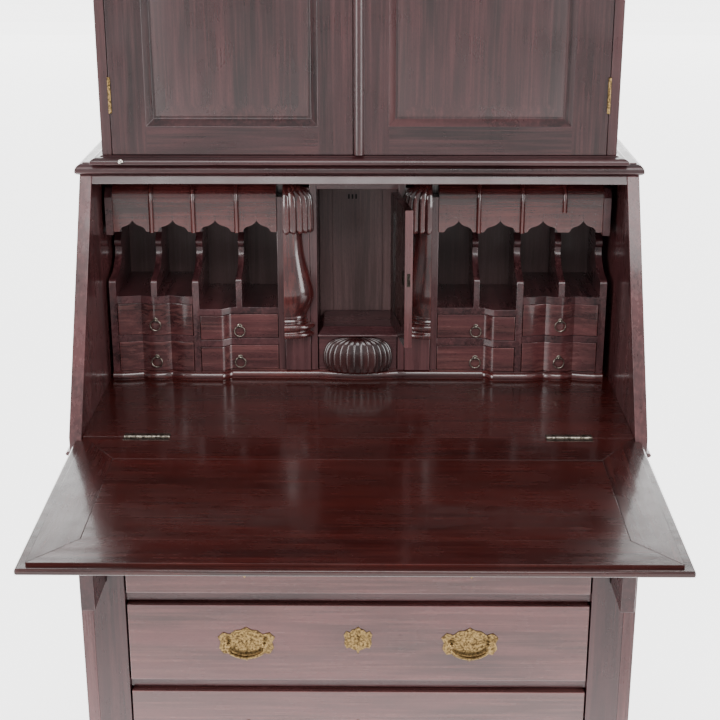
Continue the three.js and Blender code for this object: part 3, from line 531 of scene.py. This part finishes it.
def repeated(name, part_mesh, points, material, body, size=1.0):
    """Copies of a part, drawn about the origin, at the given places, as one piece."""
    part = bpy.data.objects.new("part", part_mesh)
    bpy.context.scene.collection.objects.link(part)
    cloud = bpy.data.meshes.new("places")
    cloud.from_pydata(points, [], [])
    holder = bpy.data.objects.new("holder", cloud)
    bpy.context.scene.collection.objects.link(holder)
    spread = holder.modifiers.new("copies", "NODES")
    spread.node_group = COPIES
    ids = {item.name: item.identifier for item in COPIES.interface.items_tree if item.in_out == "INPUT"}
    spread[ids["Part"]] = part
    spread[ids["Finish"]] = material
    spread[ids["Size"]] = size
    mesh = flattened(holder)
    mesh.name = name
    bpy.data.objects.remove(holder)
    bpy.data.objects.remove(part)
    return piece(name, mesh, body, [material])


screw_head = turned(Vector((0, 0, 0)), (0, 0, 1), [
    (-0.5, SCREW_RADIUS), (0.1, SCREW_RADIUS), (0.35, SCREW_RADIUS * 0.7), (0.4, SCREW_RADIUS * 0.2)], 16)
for side, sign in (("left", -1), ("right", 1)):
    low, high = sorted(sign * x for x in HINGE_REACH)
    middle = (low + high) / 2
    length = (high - low) / KNUCKLES
    leaves = {"case": [], "fall": []}
    for k in range(KNUCKLES):
        start = low + k * length + 0.15
        barrel = turned(at(start, FALL_AXIS, 0), (1, 0, 0),
                        [(0, 0), (0, KNUCKLE_RADIUS - KNUCKLE_CHAMFER), (KNUCKLE_CHAMFER, KNUCKLE_RADIUS),
                         (length - 0.7, KNUCKLE_RADIUS), (length - 0.3, KNUCKLE_RADIUS - KNUCKLE_CHAMFER),
                         (length - 0.3, 0)])
        leaves["fall" if k % 2 else "case"].append(barrel)
    for body, towards in (("case", 1), ("fall", -1)):
        near, far = sorted((FALL_AXIS + towards * 2, FALL_AXIS + towards * LEAF_DEEP))
        leaves[body].append(eased(block((low, high), (near, far), (-1.2, LEAF_PROUD)), 0.0002))
        leaf = joined("leaf", *leaves[body])
        heads = [at(middle + i * SCREW_STEP, FALL_AXIS + towards * LEAF_DEEP * 0.6, LEAF_PROUD)
                 for i in (-1, 0, 1)]
        if body == "fall":
            hung(leaf)
            heads = [FALL_TURN @ head for head in heads]
        piece(f"fall_hinge_{side}_{body}_leaf", leaf, body, [NICKEL])
        repeated(f"fall_hinge_{side}_{body}_screws", screw_head, heads, DARK_IRON, body)

# Gallery front line, seen from above: the fronts bow at the middle, run straight past the columns, step
# forward by an ogee and end in a serpentine with two sharp hollows. Everything in the gallery follows it.
GALLERY_X = (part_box("gallery_base")[0][0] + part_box("gallery_base")[1][0]) * 500
INNER_FRONT, OUTER_FRONT = 312, 298
STEP_FROM, STEP_TO = 237, 262
SERPENTINE, HOLLOW_AT, CENTRE_BOW, CENTRE_HALF = 8, 0.31, 7, 76
INNER_BANK, OUTER_BANK, GALLERY_END = (151, 299), (312, 455), 468
BANKS = {"inner": INNER_BANK, "outer": OUTER_BANK}


def front_line(x):
    place = abs(x)
    if place < CENTRE_HALF:
        return INNER_FRONT - CENTRE_BOW * math.cos(place / CENTRE_HALF * math.pi / 2)
    if place < STEP_FROM:
        return INNER_FRONT
    if place < STEP_TO:
        t = (place - STEP_FROM) / (STEP_TO - STEP_FROM)
        return INNER_FRONT - (1 - math.cos(math.pi * t)) / 2 * (INNER_FRONT - OUTER_FRONT)
    if not OUTER_BANK[0] < place < OUTER_BANK[1]:
        return OUTER_FRONT
    across = (place - OUTER_BANK[0]) / (OUTER_BANK[1] - OUTER_BANK[0])
    from_middle = abs(across - 0.5)
    lobe = (0.5 - from_middle) / HOLLOW_AT
    if from_middle < 0.5 - HOLLOW_AT:
        lobe = from_middle / (0.5 - HOLLOW_AT)
    return OUTER_FRONT + SERPENTINE * (1 - math.cos(math.pi / 2 * lobe))


def front_places(low, high, step=2.0):
    """Places along the front, with one at each crease."""
    creases = [CENTRE_HALF, *OUTER_BANK, *(OUTER_BANK[0] + t * (OUTER_BANK[1] - OUTER_BANK[0])
                                           for t in (HOLLOW_AT, 1 - HOLLOW_AT))]
    creases += [-x for x in creases]
    count = max(2, round((high - low) / step))
    even = [low + (high - low) * i / count for i in range(count + 1)]
    kept = [x for x in even if all(abs(x - c) > step * 0.4 for c in creases) or x in (low, high)]
    return sorted(kept + [c for c in creases if low + 0.5 < c < high - 0.5])


# Gallery base: a bead worked on the front edge of the bottom board, with a small fillet under it.
BASE_PROFILE = [(-1, 0), (6.2, 0), (6.6, 2.2), (7.6, 3.6), (8, 5.8), (7.6, 8.6), (6.4, 11.2), (4.4, 13.4),
                (1.8, 14.8), (0, 15.2), (0, 16), (-1, 16)]
base_rows = []
for x in front_places(-GALLERY_END, GALLERY_END):
    base_rows.append([at(x + GALLERY_X, front_line(x) - out, z) for out, z in BASE_PROFILE])
bead = loft("gallery_base_bead", base_rows)
bed = slab([(x + GALLERY_X, front_line(x) + 0.9) for x in front_places(-GALLERY_END, GALLERY_END)]
           + [(GALLERY_END + GALLERY_X, 474), (-GALLERY_END + GALLERY_X, 474)], 0, 16)
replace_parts(piece("gallery_base_moulding", joined("gallery_base_moulding", bead, bed), "case",
                  [mahogany("polished", ACROSS)]), "gallery_base")

# Small drawers: shaped fronts sawn from thick stock, on thin trays of the inside wood. A plated ring hangs
# from a ball stud riveted through a small round plate at the middle of each front.
STUD_OUT, STUD_BALL = 3.2, 3.0
RING_RADIUS, RING_WIRE = 10, 1.1
DRAWER_FOOT = 16.6
DRAWER_HEIGHTS = {"outer_upper": (88.1, 149.9), "outer_lower": (DRAWER_FOOT, 74.4),
                  "inner_upper": (79.6, 126.4), "inner_lower": (DRAWER_FOOT, 64.4)}
RING_TURNS, WIRE_TURNS = 48, 12


def tray(across, front, heights, back=462, wall=5):
    """Sides, back and bottom of a small drawer."""
    (x0, x1), (z0, z1) = across, heights
    top = z1 - 5
    return joined(
        "tray",
        block((x0, x0 + wall), (front, back), (z0, top)),
        block((x1 - wall, x1), (front, back), (z0, top)),
        block((x0 + wall, x1 - wall), (back - wall, back), (z0, top)),
        block((x0 + wall, x1 - wall), (front, back - wall), (z0 + 1, z0 + wall)),
    )


for side, sign in (("left", -1), ("right", 1)):
    for place, (z0, z1) in DRAWER_HEIGHTS.items():
        bank = BANKS[place.split("_")[0]]
        low, high = sides_of((bank[0] + 1, bank[1] - 1), sign)
        body = f"small_drawer_{place}_{side}"
        fronts = [(x, front_line(x - GALLERY_X)) for x in
                  (p + GALLERY_X for p in front_places(low - GALLERY_X, high - GALLERY_X))]
        back = max(y for x, y in fronts) + 12
        face = eased(slab(fronts + [(high, back), (low, back)], z0, z1), 0.0009, 2, 50)
        made = piece(body + "_front", face, body, [mahogany("front", ACROSS)])
        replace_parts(made, body)
        piece(body + "_tray", tray((low, high), back, (z0, z1)), body,
              [mahogany("inside", DEEP)])
        middle, height = (low + high) / 2, (z0 + z1) / 2
        out = front_line((bank[0] + bank[1]) / 2)
        stud = turned(at(middle, out, height), (0, -1, 0), [
            (-1, 0), (-1, 4.4), (0.5, 4.4), (0.9, 3.6), (0.9, 1.5), (1.0, 1.6), (1.6, 2.5),
            (STUD_OUT, STUD_BALL), (4.8, 2.5), (5.8, 1.5), (6.2, 0)])
        piece(body + "_stud", stud, body, [NICKEL])
        rows = []
        for i in range(RING_TURNS):
            turn = 2 * math.pi * i / RING_TURNS
            centre = Vector((math.sin(turn), 0, math.cos(turn)))
            rows.append([at(middle, out - STUD_OUT, height - RING_RADIUS) + (centre * (
                RING_RADIUS + RING_WIRE * math.cos(a)) + Vector((0, RING_WIRE * math.sin(a), 0))) / 1000
                for a in (2 * math.pi * k / WIRE_TURNS for k in range(WIRE_TURNS))])
        form = bmesh.new()
        loops = [[form.verts.new(point) for point in row] for row in rows]
        for i, first in enumerate(loops):
            second = loops[(i + 1) % len(loops)]
            for k in range(WIRE_TURNS):
                after = (k + 1) % WIRE_TURNS
                form.faces.new((first[k], first[after], second[after], second[k]))
        bmesh.ops.recalc_face_normals(form, faces=form.faces)
        ring = bpy.data.meshes.new("ring")
        form.to_mesh(ring)
        form.free()
        name = body.replace("small_drawer", "pull_ring")
        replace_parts(piece(name + "_wire", ring, name, [NICKEL]), name)

# Valances: a board over each bank of pigeonholes, sawn below into peaked ogee arches and rolled back at the
# top, with a half-round rib glued over each divider. One rib on the right is broken off short.
VALANCE_FRONT, VALANCE_THICK, VALANCE_ROUND = 310, 14, 34
VALANCE_BOTTOM, VALANCE_APEX, VALANCE_SHOULDER = 287.5, 309.5, 348
RIB_HALF, RIB_OUT, SHORT_RIB_BOTTOM = 5, 7, 326
OGEE = [(0, 1), (0.07, 0.87), (0.16, 0.74), (0.3, 0.61), (0.42, 0.54), (0.55, 0.49), (0.68, 0.44),
        (0.79, 0.36), (0.87, 0.25), (0.93, 0.12), (0.97, 0.03), (1, 0)]
rib_places = [(INNER_BANK[0] + INNER_BANK[1]) / 2, (INNER_BANK[1] + OUTER_BANK[0]) / 2,
              (OUTER_BANK[0] + OUTER_BANK[1]) / 2]
arch_edges = [INNER_BANK[0], *rib_places, OUTER_BANK[1]]


def roll(out, bottom, thick):
    """Section of a valance or rib: up the face and back over the top."""
    centre = VALANCE_FRONT + VALANCE_ROUND
    points = [(VALANCE_FRONT - out, bottom)]
    for angle in range(0, 91, 9):
        a = math.radians(angle)
        points.append((centre - (VALANCE_ROUND + out) * math.cos(a),
                       VALANCE_SHOULDER + (VALANCE_ROUND + out) * math.sin(a)))
    for angle in range(90, -1, -15):
        a = math.radians(angle)
        inner = VALANCE_ROUND - thick
        points.append((centre - inner * math.cos(a), VALANCE_SHOULDER + inner * math.sin(a)))
    return points + [(VALANCE_FRONT + thick, bottom)]


def arch_bottom(x):
    for low, high in zip(arch_edges, arch_edges[1:]):
        if low <= x <= high:
            t = abs(x - (low + high) / 2) / ((high - low) / 2 - 2 * RIB_HALF)
            for (t0, h0), (t1, h1) in zip(OGEE, OGEE[1:]):
                if t0 <= t <= t1:
                    rise = h0 + (h1 - h0) * (t - t0) / (t1 - t0)
                    return VALANCE_BOTTOM + rise * (VALANCE_APEX - VALANCE_BOTTOM)
    return VALANCE_BOTTOM


for side, sign in (("left", -1), ("right", 1)):
    low, high = INNER_BANK[0] + 0.2, OUTER_BANK[1] - 0.2
    places = sorted({low + (high - low) * i / 300 for i in range(301)}
                    | {(a + b) / 2 for a, b in zip(arch_edges, arch_edges[1:])})
    rows = [[at(x * sign + GALLERY_X, y, z) for y, z in roll(0, arch_bottom(x), VALANCE_THICK)]
            for x in places]
    made = piece(f"valance_board_{side}", loft("valance", rows), "case",
                 [mahogany("polished", ACROSS)])
    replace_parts(made, f"valance_{side}")
    for number, x in enumerate(rib_places):
        bottom = SHORT_RIB_BOTTOM if side == "right" and number == 2 else VALANCE_BOTTOM - 0.5
        rows = []
        for i in range(13):
            a = math.pi * i / 12
            section = roll(RIB_OUT * math.sin(a), bottom, 3)
            rows.append([at(x * sign + GALLERY_X - RIB_HALF * math.cos(a), y, z) for y, z in section])
        piece(f"valance_rib_{side}_{number + 1}", loft("rib", rows), "case",
              [mahogany("polished", UPRIGHT)])

# Document columns: a turned quarter column with a vase shaft and ringed foot on a plain plinth, under a
# reeded capital whose reeds roll back at the top. Each is the front of a tall narrow box.
COLUMN_AXIS, COLUMN_FRONT, COLUMN_FLAT, COLUMN_SWELL = 137.4, 308, 0.59, 1.08
SHAFT = [(48, 87.2), (50.5, 88.6), (51.6, 92), (50.5, 95.4), (47.5, 97), (45.5, 99), (47, 101.5), (51, 103.2),
         (52.8, 107), (51.8, 111), (48, 113.4), (40, 114.4), (38.6, 116.4), (40.6, 118.6), (38.6, 120.8),
         (37, 122.6), (39.4, 125.2), (38, 128), (38.5, 131), (41.5, 138), (46.5, 148), (50, 159), (51.2, 169),
         (50.2, 180), (47.6, 192), (44.3, 205), (40.8, 220), (37.4, 235), (34.6, 249), (33, 264), (31.8, 280),
         (31.8, 300)]
REEDS, REED_DEPTH = 6, 4.2
CAPITAL = [(0, 50), (4, 52), (20, 52.5), (44, 52), (58, 51), (68, 48.5), (76, 44), (83, 37), (88, 28),
           (91, 17), (92, 4)]
CAPITAL_FOOT = 290


def smooth_curve(points, steps):
    """Catmull-Rom curve through the points."""
    ends = [points[0], *points, points[-1]]
    curve = []
    for i in range(len(points) - 1):
        p0, p1, p2, p3 = (Vector(ends[i + k]) for k in range(4))
        for k in range(steps):
            t = k / steps
            curve.append(0.5 * (2 * p1 + (p2 - p0) * t + (2 * p0 - 5 * p1 + 4 * p2 - p3) * t * t
                                + (3 * p1 - p0 - 3 * p2 + p3) * t * t * t))
    return curve + [Vector(points[-1])]


def quarter(sign, radius_at, levels, arc_steps=48):
    """Quarter column: radius_at(level, share of the arc) gives a radius and a height."""
    rows = []
    for level in levels:
        row = []
        for k in range(arc_steps + 1):
            u = k / arc_steps
            radius, z = radius_at(level, u)
            a = math.pi / 2 * u
            row.append(at((COLUMN_AXIS - COLUMN_SWELL * radius * math.cos(a)) * sign + GALLERY_X,
                          COLUMN_FRONT - radius * COLUMN_FLAT * math.sin(a), z))
        row.append(at(COLUMN_AXIS * sign + GALLERY_X, COLUMN_FRONT, radius_at(level, 1)[1]))
        rows.append(row)
    return loft("quarter", rows)


def reeded(level, u):
    swell = abs(math.sin(math.pi * REEDS * u))
    rise, radius = level
    foot = 5.5 * (1 - swell) * max(0.0, 1 - rise / 10)
    fade = min(1.0, radius / 30)
    return radius - REED_DEPTH * (1 - swell) * fade, CAPITAL_FOOT + rise + foot


for side, sign in (("left", -1), ("right", 1)):
    body = "document_column" if side == "left" else "case"
    shaft = quarter(sign, lambda level, u: (level[0], level[1]), smooth_curve(SHAFT, 4), 24)
    capital = quarter(sign, reeded, smooth_curve([(0, 20), (0, 44), *CAPITAL], 4), 96)
    width = sides_of((89.6, COLUMN_AXIS), sign)
    plinth = eased(block(width, (COLUMN_FRONT - 3, COLUMN_FRONT + 0.5), (DRAWER_FOOT, 86.8)), 0.0008)
    backing = eased(block(width, (COLUMN_FRONT, COLUMN_FRONT + 12), (DRAWER_FOOT, 372)), 0.0008)
    made = piece(f"document_column_{side}_turning", joined("column", shaft, capital), body,
                 [mahogany("polished", UPRIGHT)])
    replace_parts(made, f"document_column_{side}")
    piece(f"document_column_{side}_front", joined("front", plinth, backing), body,
          [mahogany("frame", UPRIGHT)])
    piece(f"document_column_{side}_box", tray(width, COLUMN_FRONT + 12, (DRAWER_FOOT, 200)), body,
          [mahogany("inside", UPRIGHT)])

# Shell drawer: half of a melon-shaped turning, carved into gadroons that spread from its crown, on the front
# of a shallow drawer under the prospect.
GADROONS, GADROON_DEPTH, GADROON_STEPS = 13, 0.06, 12
SHELL_HALF, SHELL_OUT = 66.8, 27
MELON = [(0.0, 82.8), (0.12, 82.7), (0.3, 82.2), (0.5, 80.6), (0.68, 77.4), (0.82, 72), (0.92, 64),
         (0.98, 54), (1, 44), (0.99, 34), (0.955, 25), (0.9, 17.2)]
rows = []
for level in smooth_curve(MELON, 5):
    row = []
    for k in range(GADROONS * GADROON_STEPS + 1):
        u = k / (GADROONS * GADROON_STEPS)
        swell = abs(math.sin(math.pi * GADROONS * u)) ** 0.65
        share = max(level[0], 0.004) * (1 - GADROON_DEPTH * (1 - swell))
        drop = 1.6 * (1 - swell) * min(1, level[0] * 3) * max(0, 1 - level[0] * level[0])
        a = math.pi * u
        row.append(at(GALLERY_X - SHELL_HALF * share * math.cos(a),
                      INNER_FRONT - SHELL_OUT * share * math.sin(a), level[1] - drop))
    rows.append(row)
made = piece("shell_drawer_melon", loft("melon", rows), "shell_drawer",
             [mahogany("carved", UPRIGHT)])
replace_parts(made, "shell_drawer")
shell_width = (GALLERY_X - 74.5, GALLERY_X + 74.5)
shell_height = (DRAWER_FOOT, 83)
piece("shell_drawer_front", eased(block(shell_width, (INNER_FRONT, INNER_FRONT + 12), shell_height), 0.0008),
      "shell_drawer", [mahogany("frame", ACROSS)])
piece("shell_drawer_tray", tray(shell_width, INNER_FRONT + 12, shell_height), "shell_drawer",
      [mahogany("inside", DEEP)])

# Prospect: a small cupboard with a sloped step at its mouth, a thin back panel between two scored lines and
# three vent slots, and a door of frame and panel hung on pins, with a lock let into its free edge.
FLOOR_TOP, FLOOR_FOOT, STEP_FRONT, STEP_BACK = 100, 84, 304, 320
PROSPECT_BACK = 424
PROSPECT_HALF, STEP_HALF, BEVEL_FOOT = 75.8, 66, 87


def floor_outline(half, front, z):
    corners = ((-half, front), (half, front), (half, PROSPECT_BACK), (-half, PROSPECT_BACK))
    return [at(GALLERY_X + x, y, z) for x, y in corners]


step_rows = [floor_outline(PROSPECT_HALF, STEP_FRONT, FLOOR_FOOT),
             floor_outline(PROSPECT_HALF, STEP_FRONT, BEVEL_FOOT),
             floor_outline(STEP_HALF, STEP_BACK, FLOOR_TOP)]
step = piece("prospect_step", eased(loft("step", step_rows), 0.0006), "case",
             [mahogany("frame", ACROSS)])
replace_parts(step, "prospect_floor")
PANEL_EDGES = (-PROSPECT_HALF, -50, 47, PROSPECT_HALF)
strips = [block((GALLERY_X + a + 0.5, GALLERY_X + b - 0.5), (PROSPECT_BACK, PROSPECT_BACK + 12),
                (FLOOR_TOP, 410.5)) for a, b in zip(PANEL_EDGES, PANEL_EDGES[1:])]
strips.append(block((GALLERY_X - 75, GALLERY_X + 75), (PROSPECT_BACK + 1.5, PROSPECT_BACK + 12),
                    (FLOOR_FOOT, 410)))
piece("prospect_back", joined("back", *(eased(strip, 0.0005) for strip in strips)), "case",
      [mahogany("inside", UPRIGHT)])
slots = [block((GALLERY_X + x - 1.7, GALLERY_X + x + 1.7), (PROSPECT_BACK - 0.15, PROSPECT_BACK + 1),
               (325, 334)) for x in (-18, -11, -4)]
shadow = bpy.data.materials.new("unlit slot")
shadow.use_nodes = True
shadow.node_tree.nodes["Principled BSDF"].inputs["Base Color"].default_value = linear("#0b0707")
shadow.node_tree.nodes["Principled BSDF"].inputs["Roughness"].default_value = 0.9
piece("prospect_vent_slots", joined("slots", *slots), "case", [shadow])

DOOR_WIDE, DOOR_THICK, DOOR_OPEN = 150, 14, math.radians(99)
DOOR_LOW, DOOR_HIGH, DOOR_STILE = 115, 367, 30
DOOR_PIN = (75.4, 296.5)
LIT_EDGE = 1.5


def opened(mesh):
    """A mesh drawn with the door shut and its pin at x = y = 0, turned to where it stands."""
    pin = at(DOOR_PIN[0] + GALLERY_X, DOOR_PIN[1], 0)
    mesh.transform(Matrix.Translation(Vector((pin.x, pin.y, 0))) @ Matrix.Rotation(DOOR_OPEN, 4, "Z")
                   @ Matrix.Translation(-Vector((at(0, 0, 0).x, at(0, 0, 0).y, 0))))
    return mesh


door_parts = [
    block((-DOOR_WIDE + LIT_EDGE, -DOOR_WIDE + DOOR_STILE), (0, DOOR_THICK), (DOOR_LOW, DOOR_HIGH)),
    block((-DOOR_STILE, 0), (0, DOOR_THICK), (DOOR_LOW, DOOR_HIGH)),
    block((-DOOR_WIDE + DOOR_STILE, -DOOR_STILE), (0, DOOR_THICK), (DOOR_LOW, DOOR_LOW + DOOR_STILE)),
    block((-DOOR_WIDE + DOOR_STILE, -DOOR_STILE), (0, DOOR_THICK), (DOOR_HIGH - DOOR_STILE, DOOR_HIGH)),
]
field = block((-DOOR_WIDE + DOOR_STILE - 2, -DOOR_STILE + 2), (3, DOOR_THICK - 2.5),
              (DOOR_LOW + DOOR_STILE - 2, DOOR_HIGH - DOOR_STILE + 2))
door = joined("door", *(eased(part, 0.0009) for part in door_parts), field)
# The door's faces take the darkened shade tone: painted shade on the open leaf.
made = piece("prospect_door_leaf", opened(door), "prospect_door",
             [mahogany("shade", UPRIGHT)])
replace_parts(made, "prospect_door")
# A strip along the door's free edge takes the lighter sides tone: a painted highlight where the edge catches
# the light.
lit_edge_strip = eased(block((-DOOR_WIDE, -DOOR_WIDE + LIT_EDGE), (0, DOOR_THICK), (DOOR_LOW, DOOR_HIGH)), 0.0004)
piece("prospect_door_lipping", opened(lit_edge_strip), "prospect_door",
      [mahogany("sides", UPRIGHT)])
LOCK_HALF = 12
middle_z = (DOOR_LOW + DOOR_HIGH) / 2
lock_height = (middle_z - LOCK_HALF, middle_z + LOCK_HALF)
lock = joined(
    "lock",
    eased(block((-DOOR_WIDE + 3, -DOOR_WIDE + 22), (DOOR_THICK - 0.4, DOOR_THICK + 1), lock_height), 0.0003),
    eased(block((-DOOR_WIDE - 0.3, -DOOR_WIDE + 1), (4, DOOR_THICK - 4), lock_height), 0.0003),
    turned(at(-DOOR_WIDE + 15, 0, middle_z), (0, -1, 0), [(-1, 0), (-1, 7), (0.7, 7), (1.1, 6), (1.1, 0)]),
)
piece("prospect_door_lock", opened(lock), "prospect_door", [DARK_IRON])
pins = [turned(at(0, 0, z), (0, 0, 1), [(0, 0), (0, 2.2), (22, 2.2), (22, 0)], 16)
        for z in (DOOR_LOW + 22, DOOR_HIGH - 44)]
piece("prospect_door_knuckles", opened(joined("pins", *pins)), "prospect_door", [BRASS])

# Long drawers' handles: cast bails hung from two turned posts on pierced-edge plates that come to a point
# below, two to a drawer, with a keyhole plate between them.
PLATE = [(0, -37), (7, -27), (18, -25), (30, -20), (42, -22), (50, -10), (47, 2), (52, 12), (42, 22),
         (30, 18), (20, 26), (10, 27), (0, 33)]
POST_AT, HANDLE_AT, BAIL_OUT = 33, 203, 9
outline = PLATE + [(-x, z) for x, z in reversed(PLATE[1:-1])]


def plate(points, thick):
    rows = [[Vector((x / 1000, y / 1000, z / 1000)) for x, z in points] for y in (0.6, -thick)]
    return eased(loft("plate", rows), 0.0004)


def bail():
    path = [(-POST_AT, 0), (-POST_AT - 1, -7), (-POST_AT + 3, -15), (-POST_AT + 13, -21), (-10, -24),
            (0, -25.5), (10, -24), (POST_AT - 13, -21), (POST_AT - 3, -15), (POST_AT + 1, -7), (POST_AT, 0)]
    curve = smooth_curve(path, 6)
    rows = []
    for i, point in enumerate(curve):
        ahead = curve[min(i + 1, len(curve) - 1)] - curve[max(i - 1, 0)]
        side_way = Vector((ahead.y, -ahead.x)).normalized()
        swell = 2.2 + 1.3 * math.sin(math.pi * i / (len(curve) - 1))
        rows.append([Vector(((point.x + side_way.x * swell * math.cos(a)) / 1000,
                             (-BAIL_OUT - swell * math.sin(a)) / 1000,
                             (point.y + side_way.y * swell * math.cos(a)) / 1000))
                     for a in (2 * math.pi * k / WIRE_TURNS for k in range(WIRE_TURNS))])
    return loft("bail", rows)


post = [turned(Vector((x / 1000, 0, 0)), (0, -1, 0), [(0, 0), (0, 7), (2.2, 7), (3, 5), (4, 3.4), (8, 3.4),
                                                    (9, 4.6), (11.5, 4.8), (13, 3), (13.6, 0)], 20)
        for x in (-POST_AT, POST_AT)]
pull = joined("pull", plate(outline, 1.6), bail(), *post)
keyhole = joined("keyhole plate", plate([(x * 0.5, z * 0.8) for x, z in outline], 1.4),
                 turned(Vector((0, 0, 0.004)), (0, -1, 0),
                        [(0, 0), (0, 4), (2.4, 4), (2.4, 2.4), (1.5, 2.2), (1.5, 0)], 20))
for number in (1, 2, 3, 4):
    body = f"long_drawer_{number}"
    low_corner, high_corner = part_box(body)
    height = (low_corner[2] + high_corner[2]) / 2 - WRITING + 0.001
    middle = height * 1000
    repeated(body + "_pulls", pull, [at(x, 0, middle) for x in (-HANDLE_AT, HANDLE_AT)], BRASS, body)
    repeated(body + "_keyhole_plate", keyhole, [at(0, 0, middle + 8)], BRASS, body)

# Bookcase fittings: brass butt hinges whose knuckles show at the outer edges of the doors, and a keyhole
# plate on the right door.
knuckle = turned(Vector((0, 0, -0.032)), (0, 0, 1), [
    (0, 0), (0, 2), (1, 3), (20, 3), (20.4, 2.4), (20.8, 3), (43, 3), (43.4, 2.4), (43.8, 3), (63, 3),
    (64, 2), (64, 0)], 16)
for side, sign in (("left", -1), ("right", 1)):
    low_corner, high_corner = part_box(f"bookcase_door_{side}")
    edge = low_corner[0] if sign < 0 else high_corner[0]
    span = high_corner[2] - low_corner[2]
    heights = [low_corner[2] + span * share for share in (0.13, 0.5, 0.87)]
    repeated(f"bookcase_door_{side}_knuckles", knuckle,
             [(edge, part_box("bookcase_door_left")[0][1] - 0.0005, z) for z in heights], BRASS,
             f"bookcase_door_{side}")
low_corner, high_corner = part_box("bookcase_door_right")
repeated("bookcase_door_keyhole_plate", keyhole,
         [(0.036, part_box("bookcase_door_left")[0][1], (low_corner[2] + high_corner[2]) / 2)], BRASS,
         "bookcase_door_right", 0.8)

# Left stay knob: a small plated button that stands on the bookcase's base moulding below the left door.
stay = turned(at(-421, 213, 440), (0, -1, 0), [
    (-1.5, 0), (-1.5, 2), (1.2, 2), (1.6, 3.6), (3.4, 4.6), (5.4, 4.2), (6.6, 2.6), (7, 0)])
piece("bookcase_stay_knob", stay, "case", [metal("bright nickel", "#dcd8d0", "#8f887d", 0.15)])
